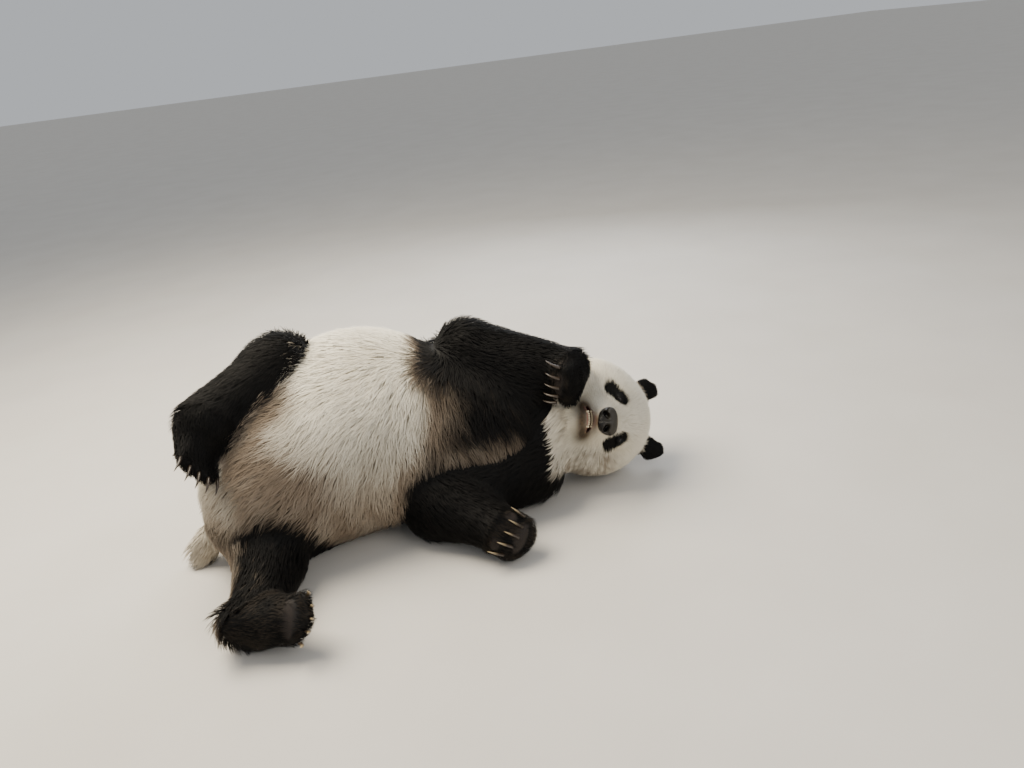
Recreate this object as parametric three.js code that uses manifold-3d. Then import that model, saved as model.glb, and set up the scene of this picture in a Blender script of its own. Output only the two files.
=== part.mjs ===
// A giant panda lying on its back and rolled towards its left side, at life size, in millimetres.
// +X runs from the rump to the head, +Z up, the floor is z = 0, and the origin is on the floor under
// the middle of the animal's box. The solids give the outer surface of the coat. Each part is shaped
// by a distance field, turned into a faceted surface, and cut with a thin gap from what it lies against.
import * as THREE from "three";
import { mergeVertices } from "three/addons/utils/BufferGeometryUtils.js";
import Module from "manifold-3d";

const wasm = await Module();
wasm.setup();

// ---------------------------------------------------------------- driving dimensions

const GAP = 0.5; // between parts that meet

// Facet sizes, coarse where the body is smooth and fine where it has shape.
const CELL = { trunk: 66, limb: 50, head: 24, ear: 26, nose: 17, paw: 29, tail: 38 };

// The trunk: three masses, each with its middle and its half length, half width and half depth.
const ROLL = 50; // degrees that the belly is turned from straight up towards the left side
const TRUNK = [
  { at: [-330, 60, 205], half: [185, 215, 195] },
  { at: [-70, 128, 250], half: [300, 275, 262] },
  { at: [215, 60, 205], half: [215, 205, 205] },
];
const TRUNK_BLEND = 130;
const NECK = { from: [250, 50, 205], to: [500, 5, 170], radii: [175, 118], starts: 0.36, ends: 0.78 };
const TAIL = { from: [-440, 75, 135], to: [-550, 100, 42], radii: [58, 44] };

// The head's middle, and where its nose and its crown point. Places on it are in its own axes:
// first to its right, then towards its nose, then towards its crown.
const HEAD = { at: [561, -48, 167], nose: [-0.146, -0.897, 0.419], crown: [0.955, -0.237, -0.177] };
const SKULL = [
  { at: [2, -8, 16], half: [141, 128, 129] },
  { at: [79, 18, -42], half: [95, 96, 112] }, // the cheeks
  { at: [-75, 20, -40], half: [80, 94, 104] },
  { at: [0, 40, -96], half: [84, 84, 70] }, // the ruff under the jaw
  { at: [0, 64, 36], half: [80, 56, 66] }, // the forehead
  { at: [-38, -74, -6], half: [112, 80, 98] }, // the back of the head, on the floor
];
const MUZZLE = [
  { from: [0, 90, -36], to: [0, 142, -42], radii: [62, 44] },
  { from: [0, 78, -84], to: [0, 124, -92], radii: [50, 33] },
];
const NOSE = { at: [-3, 173, -25], half: [36, 20, 27] };
const MOUTH = { at: [0, 130, -78], half: [40, 50, 7], jaw: { nose: 66, half: 48 } };
const TEETH = { pairs: 4, spacing: 7, nose: 152, radius: 4.2, length: 8 };
const EYE = { apart: 110, crown: 22, radius: 11, sunk: 4 };
const EARS = {
  ear_left: { at: [-86, -24, 155], half: [44, 20, 56], tip: [-0.24, -0.07, 1] },
  ear_right: { at: [83, -31, 144], half: [44, 20, 56], tip: [0.32, -0.22, 1] },
};

// Paws: their half sizes towards the toes, across, and from back to sole, the distance from the
// wrist or ankle to the knuckles, and the spread from one digit to the next.
const HAND = { palm: { ahead: 54, below: 0, half: [56, 64, 38] }, heel: 0, knuckles: 92, spread: 25 };
const FOOT = { palm: { ahead: 52, below: 40, half: [80, 62, 40] }, heel: 50, knuckles: 114, spread: 24 };
const DIGIT = { count: 5, length: 34, radii: [21, 18] };
const CLAW = { length: 36, radius: 5.5, bend: 1.1 }; // bend in radians from root to tip

// Limbs: the joint at the body, the middle joint and the last joint, the coat's radius at each,
// where the toes point and the palm or sole faces, and how many degrees the digits curl towards it.
// Side 1 is the left, and -1 the right.
const LIMBS = [
  { parts: ["upper_arm_right", "forearm_right", "hand_right"], side: -1, paw: HAND,
    joints: [[345, 18, 312], [238, 90, 414], [458, -84, 364]], radii: [116, 84, 66],
    toes: [-0.25, -0.93, -0.22], sole: [-0.9, 0.1, 0.1], curl: 100 },
  { parts: ["upper_arm_left", "forearm_left", "hand_left"], side: 1, paw: HAND,
    joints: [[326, -80, 124], [48, -98, 106], [141, -266, 84]], radii: [116, 98, 64],
    toes: [0.68, -0.6, -0.38], sole: [-0.235, -0.797, 0.555], curl: 124 },
  { parts: ["thigh_right", "shank_right", "foot_right"], side: -1, paw: FOOT,
    joints: [[-325, 125, 300], [-242, 150, 462], [-442, 36, 412]], radii: [140, 93, 80],
    toes: [-0.12, -0.95, -0.3], sole: [-0.75, 0.3, -0.5], curl: -8 },
  { parts: ["thigh_left", "shank_left", "foot_left"], side: 1, paw: FOOT,
    joints: [[-384, 30, 150], [-374, -78, 92], [-440, -299, 56]], radii: [138, 92, 68],
    toes: [0.9, -0.43, -0.03], sole: [-0.31, -0.69, 0.65], curl: 44 },
];

// ---------------------------------------------------------------- vectors and distance fields

const add = (a, b, k = 1) => [a[0] + k * b[0], a[1] + k * b[1], a[2] + k * b[2]];
const sub = (a, b) => add(a, b, -1);
const times = (a, k) => [a[0] * k, a[1] * k, a[2] * k];
const dot = (a, b) => a[0] * b[0] + a[1] * b[1] + a[2] * b[2];
const cross = (a, b) => [a[1] * b[2] - a[2] * b[1], a[2] * b[0] - a[0] * b[2], a[0] * b[1] - a[1] * b[0]];
const size = (a) => Math.hypot(a[0], a[1], a[2]);
const unit = (a) => times(a, 1 / size(a));
const mean = (points) => times(points.reduce((a, b) => add(a, b)), 1 / points.length);

// The second direction, brought square to the first.
const square = (first, second) => unit(add(second, first, -dot(second, first) / dot(first, first)));

// An ellipsoid with its half sizes along three axes.
function ball(at, half, along) {
  return (p) => {
    const q = sub(p, at);
    const u = along.map((axis, i) => dot(q, axis) / half[i]);
    const near = size(u);
    return near < 1e-6 ? -Math.min(...half) : (near * (near - 1)) / size(u.map((x, i) => x / half[i]));
  };
}

// A round bar whose radius changes evenly from one end to the other, with round ends.
function bar(from, to, [first, last]) {
  const axis = sub(to, from);
  const lean = (first - last) / size(axis);
  return (p) => {
    const q = sub(p, from);
    const along = dot(q, axis) / size(axis);
    const off = Math.sqrt(Math.max(dot(q, q) - along * along, 0));
    const t = THREE.MathUtils.clamp((along - off * lean) / size(axis), 0, 1);
    return Math.hypot(off, along - t * size(axis)) - (first + (last - first) * t);
  };
}

// Two fields joined with a fillet about as wide as soft.
function blend(a, b, soft) {
  const h = Math.max(soft - Math.abs(a - b), 0) / soft;
  return Math.min(a, b) - (h * h * soft) / 4;
}
const join = (soft, ...fields) => (p) => fields.map((f) => f(p)).reduce((a, b) => blend(a, b, soft));

// ---------------------------------------------------------------- from a field to a faceted solid

// One vertex for each cell that the surface passes through and one quad for each crossed edge,
// with the vertices then evened out along the surface.
function polygonise(field, { low, high }, cell) {
  const count = low.map((x, k) => Math.ceil((high[k] - x) / cell) + 3);
  const start = low.map((x) => x - cell);
  const step = [1, count[0], count[0] * count[1]];
  const place = (i) => [i % count[0], Math.floor(i / step[1]) % count[1], Math.floor(i / step[2])];
  const at = (c) => c.map((x, k) => start[k] + x * cell);
  const value = Float64Array.from({ length: step[2] * count[2] }, (_, i) => {
    const c = place(i);
    return c.some((x, k) => x === 0 || x === count[k] - 1) ? cell : field(at(c));
  });
  closeCrossedFaces(value, step);

  const points = [];
  const vertices = new Map();
  const vertexOf = (i) => {
    if (!vertices.has(i)) {
      const crossings = [];
      for (let axis = 0; axis < 3; axis++)
        for (const [u, v] of [[0, 0], [1, 0], [0, 1], [1, 1]]) {
          const c = place(i);
          c[(axis + 1) % 3] += u;
          c[(axis + 2) % 3] += v;
          const a = value[dot(c, step)];
          const b = value[dot(c, step) + step[axis]];
          if (a < 0 === b < 0) continue;
          c[axis] += a / (a - b);
          crossings.push(at(c));
        }
      vertices.set(i, points.length);
      points.push(mean(crossings));
    }
    return vertices.get(i);
  };
  const quads = [];
  for (let i = 0; i < value.length; i++) {
    const c = place(i);
    for (let axis = 0; axis < 3; axis++) {
      if (c[axis] > count[axis] - 2 || value[i] < 0 === value[i + step[axis]] < 0) continue;
      const u = step[(axis + 1) % 3];
      const v = step[(axis + 2) % 3];
      const around = [i - u - v, i - v, i, i - u].map(vertexOf);
      quads.push(value[i] < 0 ? around : around.reverse());
    }
  }
  evenOut(points, quads, field, cell);
  return solid(facets(points, quads));
}

// Where the corners of a grid face are inside and outside crosswise, all four become inside,
// so that no two sheets of the surface share an edge.
function closeCrossedFaces(value, step) {
  for (let found = true; found; ) {
    found = false;
    for (let i = 0; i < value.length - step[1] - step[2] - 1; i++)
      for (let axis = 0; axis < 3; axis++) {
        const u = step[(axis + 1) % 3];
        const v = step[(axis + 2) % 3];
        const face = [i, i + u, i + u + v, i + v];
        const inside = face.map((j) => value[j] < 0);
        if (inside[0] !== inside[2] || inside[1] !== inside[3] || inside[0] === inside[1]) continue;
        for (const j of face) value[j] = Math.min(value[j], -0.01);
        found = true;
      }
  }
}

// Moves each vertex towards the middle of its neighbours and back to the surface.
function evenOut(points, quads, field, cell) {
  const near = points.map(() => new Set());
  for (const q of quads) q.forEach((v, i) => near[v].add(q[(i + 1) % 4]).add(q[(i + 3) % 4]));
  for (let round = 0; round < 3; round++) {
    const middles = near.map((set) => mean([...set].map((j) => points[j])));
    points.forEach((p, i) => {
      points[i] = ontoSurface(ontoSurface(times(add(p, middles[i]), 0.5), field, cell), field, cell);
    });
  }
}

function ontoSurface(p, field, cell) {
  const d = field(p);
  const e = cell / 50;
  const slope = [0, 1, 2].map((k) => (field(p.map((x, i) => (i === k ? x + e : x))) - d) / e);
  return add(p, slope, -THREE.MathUtils.clamp(d, -cell / 2, cell / 2) / Math.max(dot(slope, slope), 0.25));
}

// Two triangles for each quad, split along its shorter diagonal.
function facets(points, quads) {
  const long = (a, b) => size(sub(points[a], points[b]));
  const split = ([a, b, c, d]) => (long(a, c) < long(b, d) ? [a, b, c, a, c, d] : [b, c, d, b, d, a]);
  const shape = new THREE.BufferGeometry();
  shape.setAttribute("position", new THREE.Float32BufferAttribute(points.flat(), 3));
  return shape.setIndex(quads.flatMap(split));
}

// The box that a polygonised shape fits: all its points, and a reach around them.
function around(points, reach) {
  const corners = points.map((p) => new THREE.Vector3(...p));
  const box = new THREE.Box3().setFromPoints(corners).expandByScalar(reach);
  return { low: box.min.toArray(), high: box.max.toArray() };
}

// ---------------------------------------------------------------- solids, cut and joined

function solid(shape) {
  const bare = shape.clone();
  bare.deleteAttribute("normal");
  bare.deleteAttribute("uv");
  const merged = mergeVertices(bare, 1e-3);
  const vertProperties = merged.attributes.position.array;
  const triVerts = new Uint32Array(merged.index.array);
  return new wasm.Manifold(new wasm.Mesh({ numProp: 3, vertProperties, triVerts }));
}

function geometryOf(made) {
  const mesh = made.getMesh();
  const shape = new THREE.BufferGeometry();
  shape.setAttribute("position", new THREE.Float32BufferAttribute(mesh.vertProperties, 3));
  return shape.setIndex([...mesh.triVerts]);
}

// The same solid with its vertices moved so that every face lies at least the gap further out,
// which cuts a neighbour with that gap.
function grown(made) {
  const shape = geometryOf(made);
  shape.computeVertexNormals();
  const { position, normal } = shape.attributes;
  const corner = (attribute, i) => new THREE.Vector3().fromBufferAttribute(attribute, i);
  const reach = new Array(position.count).fill(GAP);
  for (let i = 0; i < shape.index.count; i += 3) {
    const face = [0, 1, 2].map((k) => shape.index.getX(i + k));
    const flat = new THREE.Triangle(...face.map((v) => corner(position, v))).getNormal(new THREE.Vector3());
    for (const v of face) reach[v] = Math.max(reach[v], GAP / Math.max(flat.dot(corner(normal, v)), 0.4));
  }
  const moved = reach.map((by, v) => corner(position, v).addScaledVector(corner(normal, v), by));
  moved.forEach((at, v) => position.setXYZ(v, at.x, at.y, at.z));
  return solid(shape);
}

// Keeps what lies beyond a plane through a point, on the side that the direction points to.
const beyond = (made, at, direction) => made.trimByPlane(unit(direction), dot(at, unit(direction)) + GAP / 2);
const aboveFloor = (made) => made.trimByPlane([0, 0, 1], 0);
// The largest of the bodies that a cut has left.
const largest = (made) => made.decompose().reduce((a, b) => (a.volume() > b.volume() ? a : b));

const without = (made, cutters) => largest(cutters.reduce((rest, cutter) => rest.subtract(cutter), made));

// ---------------------------------------------------------------- the parts

const panda = new THREE.Group();
const finish = (color, roughness) => new THREE.MeshStandardMaterial({ color, roughness, metalness: 0 });
const WHITE_COAT = finish(0xd9d0bf, 0.9);
const BLACK_COAT = finish(0x19181b, 0.9);
const LEATHER = finish(0x2a2525, 0.5);
const HORN = finish(0xa89a84, 0.35);
const WET_EYE = finish(0x120c08, 0.1);

// Adds a part, without the slivers that its cuts have left.
function addNode(name, made, material) {
  const clean = largest(solid(geometryOf(made)));
  const mesh = new THREE.Mesh(geometryOf(clean), material);
  mesh.name = name;
  panda.add(mesh);
  return clean;
}

// The trunk and the neck are one body, cut across.
const roll = THREE.MathUtils.degToRad(ROLL);
const trunkAxes = [[1, 0, 0], [0, -Math.cos(roll), -Math.sin(roll)], [0, -Math.sin(roll), Math.cos(roll)]];
const trunkField = join(TRUNK_BLEND, ...TRUNK.map(({ at, half }) => ball(at, half, trunkAxes)));
const neckField = bar(NECK.from, NECK.to, NECK.radii);
const neckAxis = sub(NECK.to, NECK.from);
const neckStart = add(NECK.from, neckAxis, NECK.starts);
const neckEnd = add(NECK.from, neckAxis, NECK.ends);
const backwards = times(neckAxis, -1);

const noseward = unit(HEAD.nose);
const crownward = square(noseward, HEAD.crown);
const rightward = cross(noseward, crownward);
const headAxes = [rightward, noseward, crownward];
const inHead = (v) => v.reduce((sum, x, i) => add(sum, headAxes[i], x), [0, 0, 0]);
const onHead = (v) => add(HEAD.at, inHead(v));
const headBall = ({ at, half }) => ball(onHead(at), half, headAxes);
const headBar = ({ from, to, radii }) => bar(onHead(from), onHead(to), radii);
const headField = join(36, join(50, ...SKULL.map(headBall)), join(24, ...MUZZLE.map(headBar)));
const bodyField = join(45, join(70, trunkField, neckField), headField);

const body = aboveFloor(polygonise(bodyField, { low: [-540, -240, -40], high: [480, 420, 540] }, CELL.trunk));
addNode("trunk", beyond(body, neckStart, backwards), WHITE_COAT);
addNode("neck", largest(beyond(beyond(body, neckStart, neckAxis), neckEnd, backwards)), BLACK_COAT);

// A three.js shape placed in the head's axes.
function headSolid(shape, at, half) {
  const turn = new THREE.Matrix4().makeBasis(...headAxes.map((axis) => new THREE.Vector3(...axis)));
  return solid(shape.scale(...half).applyMatrix4(turn).translate(...onHead(at)));
}

// Head, jaw, and the half-open mouth between them with its front teeth.
const headUncut = aboveFloor(polygonise(bodyField, around([HEAD.at], 240), CELL.head));
const headWhole = largest(beyond(headUncut, neckEnd, neckAxis));
const gape = headSolid(new THREE.SphereGeometry(1, 12, 8), MOUTH.at, MOUTH.half);
const { jaw } = MOUTH; // a block of space below the mouth, from the throat side forwards
const jawMiddle = [0, jaw.nose + jaw.half, MOUTH.at[2] - jaw.half];
const jawSpace = headSolid(new THREE.BoxGeometry(2, 2, 2), jawMiddle, [jaw.half, jaw.half, jaw.half]);
const tooth = (across, way) => {
  const cone = new THREE.ConeGeometry(TEETH.radius, TEETH.length, 5).rotateX((way * Math.PI) / 2);
  const along = TEETH.nose - 0.012 * across ** 2; // the row curves back to its ends
  return headSolid(cone, [across, along, MOUTH.at[2] - way * TEETH.length * 0.62], [1, 1, 1]);
};
const withTeeth = (made, way) => {
  const places = Array.from({ length: 2 * TEETH.pairs }, (_, i) => (i - TEETH.pairs + 0.5) * TEETH.spacing);
  return places.reduce((sum, across) => sum.add(tooth(across, way)), made);
};
addNode("jaw", largest(withTeeth(largest(headWhole.intersect(jawSpace).subtract(gape)), 1)), WHITE_COAT);
let head = largest(withTeeth(headWhole.subtract(grown(jawSpace)).subtract(gape), -1));

// Eyes: the face is met from the front, and each eye's middle is sunk below it in a socket of its
// own shape.
for (const [name, side] of Object.entries({ eye_left: -1, eye_right: 1 })) {
  const far = [(side * EYE.apart) / 2, 300, EYE.crown];
  const inwards = new THREE.Vector3(...noseward).negate();
  const sight = new THREE.Raycaster(new THREE.Vector3(...onHead(far)), inwards);
  const { distance } = sight.intersectObject(new THREE.Mesh(geometryOf(head)))[0];
  const at = [far[0], far[1] - distance - EYE.sunk, far[2]];
  const eyeball = (radius) => headSolid(new THREE.SphereGeometry(1, 10, 7), at, [radius, radius, radius]);
  head = head.subtract(eyeball(EYE.radius + GAP));
  addNode(name, eyeball(EYE.radius), WET_EYE);
}
addNode("head", head, WHITE_COAT);

const noseWhole = polygonise(headBall(NOSE), around([onHead(NOSE.at)], 45), CELL.nose);
const headCutter = grown(headWhole);
addNode("nose", without(noseWhole, [headCutter]), LEATHER);
for (const [name, { at, half, tip }] of Object.entries(EARS)) {
  const up = unit(inHead(tip));
  const front = square(up, noseward);
  const earField = ball(onHead(at), half, [cross(up, front), front, up]);
  addNode(name, without(polygonise(earField, around([onHead(at)], 70), CELL.ear), [headCutter]), BLACK_COAT);
}

// A claw that starts along one direction and bends towards another.
function claw(root, forward, down) {
  const { length, radius, bend } = CLAW;
  const outline = [[0, 0], [1, 0], [0.8, 0.4], [0.4, 0.75], [0, 1]].map(([x, y]) => [x * radius, y * length]);
  const shape = new THREE.LatheGeometry(outline.map(([x, y]) => new THREE.Vector2(x, y)), 5);
  const place = shape.attributes.position;
  for (let i = 0; i < place.count; i++) {
    const turn = (bend * place.getY(i)) / length;
    const ahead = (length / bend) * Math.sin(turn) - place.getX(i) * Math.sin(turn);
    const drop = (length / bend) * (1 - Math.cos(turn)) + place.getX(i) * Math.cos(turn);
    const at = add(add(add(root, forward, ahead), down, drop), cross(down, forward), place.getZ(i));
    place.setXYZ(i, ...at);
  }
  return solid(shape);
}

// Limbs: two lengths cut at the middle joint, and a paw with its digits and claws, all of them cut
// by the body, the head and the limbs before them.
const neighbours = [grown(body), headCutter];
for (const { parts, side, paw, joints, radii, toes, sole, curl: degrees } of LIMBS) {
  const [root, middle, end] = joints;
  const forward = unit(toes);
  const down = square(forward, sole);
  const inward = times(cross(down, forward), side); // towards the first digit
  const onPaw = (across, ahead, below) => add(add(add(end, inward, across), forward, ahead), down, below);

  const { ahead, below, half } = paw.palm;
  const curl = THREE.MathUtils.degToRad(degrees);
  const pieces = [ball(onPaw(0, ahead, below), half, [forward, inward, down])];
  if (paw.heel) pieces.push(bar(onPaw(0, -paw.heel, below), onPaw(0, ahead, below), [50, 46]));
  const digits = Array.from({ length: DIGIT.count }, (_, i) => {
    const across = (2 - i) * paw.spread;
    const back = 3.5 * (i - 1.7) ** 2; // the outer digits sit further back
    const knuckle = onPaw(across * 0.9, paw.knuckles - back, below);
    const way = unit(add(add(times(forward, Math.cos(curl)), down, Math.sin(curl)), inward, across / 250));
    return { knuckle, way, tip: add(knuckle, way, DIGIT.length) };
  });
  for (const { knuckle, tip } of digits) pieces.push(bar(knuckle, tip, DIGIT.radii));
  const upperField = bar(root, middle, [radii[0], radii[1]]);
  const lowerField = bar(middle, end, [radii[1], radii[2]]);
  const limbField = join(24, join(44, upperField, lowerField), join(10, ...pieces));
  const pawField = join(24, lowerField, join(10, ...pieces));

  const whole = aboveFloor(polygonise(limbField, around(joints, 170), CELL.limb));
  const fine = aboveFloor(polygonise(pawField, around([onPaw(0, 50, below)], 150), CELL.paw));
  const fold = sub(unit(sub(end, middle)), unit(sub(root, middle)));
  const wrist = add(unit(sub(end, middle)), forward);
  const upper = beyond(whole, middle, times(fold, -1));
  const lower = beyond(beyond(whole, middle, fold), end, times(wrist, -1));
  const pawWhole = beyond(fine, end, wrist);
  const pawCutter = grown(pawWhole);
  addNode(parts[0], without(upper, [...neighbours, pawCutter]), BLACK_COAT);
  addNode(parts[1], without(lower, neighbours), BLACK_COAT);
  addNode(parts[2], without(pawWhole, neighbours), BLACK_COAT);

  digits.forEach(({ way, tip }, i) => {
    const palmward = square(way, add(times(down, Math.cos(curl)), forward, -Math.sin(curl)));
    const start = add(add(tip, way, DIGIT.radii[1] - 6), palmward, -4);
    const name = parts[2].replace(/_(left|right)$/, `_claw_${i + 1}_$1`);
    addNode(name, without(claw(start, way, palmward), [...neighbours, pawCutter]), HORN);
  });
  neighbours.push(grown(whole), pawCutter);
}

const tailField = bar(TAIL.from, TAIL.to, TAIL.radii);
const tailWhole = aboveFloor(polygonise(tailField, around([TAIL.from, TAIL.to], 70), CELL.tail));
addNode("tail", without(tailWhole, neighbours), WHITE_COAT);

// The origin goes to the floor under the middle of the box.
const box = new THREE.Box3().setFromObject(panda);
panda.position.set(-(box.min.x + box.max.x) / 2, -(box.min.y + box.max.y) / 2, -box.min.z);

export default panda;
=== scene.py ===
# %% [markdown]
# # A giant panda lying on its back
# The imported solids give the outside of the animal's coat. This script loads them as a fixed frame
# and dresses them: one skin without seams, about a hundred thousand tufts of fur, and the bare parts
# that a coat leaves free, which are the nose, eyes, teeth and claws.
# Lengths are in metres, +X runs from rump to head, +Z is up and the floor is z = 0.

# %% Frame
import math
import bmesh
import bpy
import numpy as np
from mathutils import Matrix, Vector
from mathutils.bvhtree import BVHTree
from mathutils.kdtree import KDTree


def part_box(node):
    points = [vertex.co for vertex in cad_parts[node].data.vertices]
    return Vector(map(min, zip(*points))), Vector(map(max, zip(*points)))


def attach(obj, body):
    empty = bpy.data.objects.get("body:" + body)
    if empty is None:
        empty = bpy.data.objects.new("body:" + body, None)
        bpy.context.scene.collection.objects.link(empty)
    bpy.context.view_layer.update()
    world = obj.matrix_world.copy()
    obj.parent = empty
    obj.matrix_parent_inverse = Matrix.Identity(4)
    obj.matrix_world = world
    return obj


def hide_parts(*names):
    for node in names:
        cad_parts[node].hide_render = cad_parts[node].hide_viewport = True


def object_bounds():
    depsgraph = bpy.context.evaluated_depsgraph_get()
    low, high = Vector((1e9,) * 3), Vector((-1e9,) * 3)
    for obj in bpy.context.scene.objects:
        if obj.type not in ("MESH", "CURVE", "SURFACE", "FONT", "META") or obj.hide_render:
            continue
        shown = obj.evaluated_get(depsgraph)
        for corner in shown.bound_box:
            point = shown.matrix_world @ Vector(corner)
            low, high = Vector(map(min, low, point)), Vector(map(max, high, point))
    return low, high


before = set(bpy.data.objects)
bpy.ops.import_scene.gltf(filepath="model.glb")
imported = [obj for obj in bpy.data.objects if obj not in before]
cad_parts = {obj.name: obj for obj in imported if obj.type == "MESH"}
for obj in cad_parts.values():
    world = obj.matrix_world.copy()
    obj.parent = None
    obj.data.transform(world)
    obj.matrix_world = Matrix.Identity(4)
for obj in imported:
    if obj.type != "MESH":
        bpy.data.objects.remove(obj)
cad_low, cad_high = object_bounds()
MIDDLE = np.array((cad_low + cad_high) / 2)
rng = np.random.default_rng(7)
print("solids from", tuple(cad_low), "to", tuple(cad_high))

# %% [markdown]
# ## Small helpers
# Every material here is procedural, which means a tree of nodes. One function adds a node, gives it
# its settings and joins its inputs, so each material reads as a short recipe. Colours are written as
# sRGB hex codes and turned into the linear values that a renderer adds and multiplies.

# %% Helpers for colours
def linear(code):
    """The linear colour of an sRGB hex code."""
    parts = np.array([int(code[i:i + 2], 16) for i in (0, 2, 4)]) / 255
    return np.where(parts <= 0.04045, parts / 12.92, ((parts + 0.055) / 1.055) ** 2.4)


def colour(code):
    """The same with its opacity, as a node wants it."""
    return (*linear(code), 1.0)


print("blue-grey 808890 is", linear("808890").round(3), "in linear light")


# %% Helpers for materials
def new_material(name):
    """A material with only a Principled shader, and that shader's tree."""
    material = bpy.data.materials.new(name)
    material.use_nodes = True
    return material, material.node_tree


def add_node(tree, kind, inputs=None, **settings):
    """A node with its settings. Each input is a value, or the socket that it is joined to."""
    node = tree.nodes.new("ShaderNode" + kind)
    for name, value in settings.items():
        setattr(node, name, value)
    for name, value in (inputs or {}).items():
        if isinstance(value, bpy.types.NodeSocket):
            tree.links.new(value, node.inputs[name])
        else:
            node.inputs[name].default_value = value
    return node


def pattern(tree, kind, grain, inputs=None, **settings):
    """A texture node on the object's own coordinates, whose grain has this size in metres."""
    place = add_node(tree, "TexCoord").outputs["Object"]
    return add_node(tree, kind, {"Vector": place, "Scale": 1 / grain, **(inputs or {})}, **settings)


def mix(tree, share, first, second):
    """The socket of a colour between two colours. Each is a hex code or the socket of another."""
    first, second = (colour(end) if isinstance(end, str) else end for end in (first, second))
    node = add_node(tree, "Mix", {0: share, 6: first, 7: second}, data_type="RGBA")
    return node.outputs[2]


def shade(tree, **inputs):
    """Sets the Principled shader's inputs, whose names have _ for a space."""
    shader = tree.nodes["Principled BSDF"]
    for name, value in inputs.items():
        socket = shader.inputs[name.replace("_", " ")]
        if isinstance(value, bpy.types.NodeSocket):
            tree.links.new(value, socket)
        else:
            socket.default_value = value


def store(piece, **columns):
    """Keeps values for the corners of a piece, under names that its material can read."""
    for name, values in columns.items():
        values = np.asarray(values, np.float32)
        piece.data.attributes.new(name, "FLOAT", "POINT").data.foreach_set("value", values)


def named(tree, attribute):
    """The socket of a value that store() keeps."""
    return add_node(tree, "Attribute", attribute_name=attribute).outputs["Fac"]


print("nodes are ready for", bpy.app.version_string)


# %% [markdown]
# ## Helpers for shapes
# The shapes below are arrays of places, changed by smooth functions instead of by hand. Three small
# functions do most of it: a direction of length one, a soft step from 0 to 1, and a soft round mark.

# %% Helpers for shapes
def unit(vectors):
    """Vectors with the same directions and a length of one."""
    vectors = np.asarray(vectors, float)
    return vectors / np.maximum(np.linalg.norm(vectors, axis=-1, keepdims=True), 1e-12)


def smoothstep(low, high, value):
    """0 up to low, 1 from high on, and a soft rise between them. High may be the lower of the two."""
    t = np.clip((value - low) / (high - low), 0, 1)
    return t * t * (3 - 2 * t)


def spot(across, up, at, size):
    """A soft oval mark: 1 at its middle, fading out over about its half sizes."""
    return np.exp(-((across - at[0]) / size[0]) ** 2 - ((up - at[1]) / size[1]) ** 2)


print("half way up a soft step is", smoothstep(0, 1, 0.5))

# %% [markdown]
# ## Camera
# The camera stands over the animal's left flank at about the height of a rail, looks down at it and
# is tipped a little to one side. A track-to constraint would aim it too, but three directions worked
# out from three angles also give the tip, and can be read back.

# %% Camera
YAW, PITCH, TILT = math.radians(19), math.radians(23.5), math.radians(7)
AIM = MIDDLE + (0.2195, -0.0411, 0.0735)
DISTANCE = 2.088
level = np.array((math.cos(YAW), -math.sin(YAW), 0))
ahead = np.array((math.sin(YAW), math.cos(YAW), 0))
upward = np.array((0, 0, 1.0))
looking = ahead * math.cos(PITCH) - upward * math.sin(PITCH)
over = ahead * math.sin(PITCH) + upward * math.cos(PITCH)
across = level * math.cos(TILT) - over * math.sin(TILT)
over = over * math.cos(TILT) + level * math.sin(TILT)

camera = bpy.data.objects.new("camera", bpy.data.cameras.new("camera"))
bpy.context.scene.collection.objects.link(camera)
camera.data.lens, camera.data.sensor_width = 28.125, 36
camera.matrix_world = Matrix.Translation(AIM - DISTANCE * looking) @ Matrix(
    np.column_stack((across, over, -looking)).tolist()
).to_4x4()
bpy.context.scene.camera = camera
print("camera at", [round(v, 3) for v in camera.matrix_world.translation])


# %% [markdown]
# ## Light
# Fur is read by the shadows between its locks. One wide lamp high on the far side gives each lock a lit
# side, a weak one in front opens the black coat, and a third draws the outline. The pale sky fills the
# rest. One small hard lamp would show more contrast, and turn the white coat to glare.

# %% Light
def area_light(name, place, size, power, tint):
    """A square lamp of one colour that faces the middle of the animal."""
    lamp = bpy.data.objects.new(name, bpy.data.lights.new(name, "AREA"))
    bpy.context.scene.collection.objects.link(lamp)
    lamp.data.size, lamp.data.energy, lamp.data.color = size, power, linear(tint)
    lamp.location = place
    lamp.rotation_euler = (Vector(MIDDLE) - Vector(place)).to_track_quat("-Z", "Y").to_euler()


area_light("key", (-1.1, 0.8, 2.9), 2.0, 215, "FFF3DC")
area_light("front", (0.8, -2.6, 1.9), 2.0, 34, "FFFBF4")
area_light("rim", (1.6, 2.2, 1.8), 1.6, 40, "F4F8FF")
SKY_STRENGTH = 0.62
world = bpy.data.worlds.new("sky")
world.use_nodes = True
sky = world.node_tree.nodes["Background"]
sky.inputs["Color"].default_value = colour("E9EDF2")
sky.inputs["Strength"].default_value = SKY_STRENGTH
bpy.context.scene.world = world
print("sky of strength", SKY_STRENGTH)

# %% [markdown]
# ## Floor
# A studio floor of matt painted board. Its faint broad mottling, a third of a metre across, keeps it
# from looking like a flat colour, and its roughness keeps any mirror image of the animal out of it.

# %% Floor
FLOOR_SIZE = 80
bpy.ops.mesh.primitive_plane_add(size=FLOOR_SIZE)
floor = bpy.context.object
floor.name = "floor"
material, tree = new_material("pale_studio_floor")
mottling = pattern(tree, "TexNoise", 0.35, {"Detail": 6.0}).outputs["Fac"]
shade(tree, Base_Color=mix(tree, mottling, "C9C4BC", "D6D2CB"), Roughness=0.8)
floor.data.materials.append(material)
print("floor", FLOOR_SIZE, "m wide")

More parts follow.
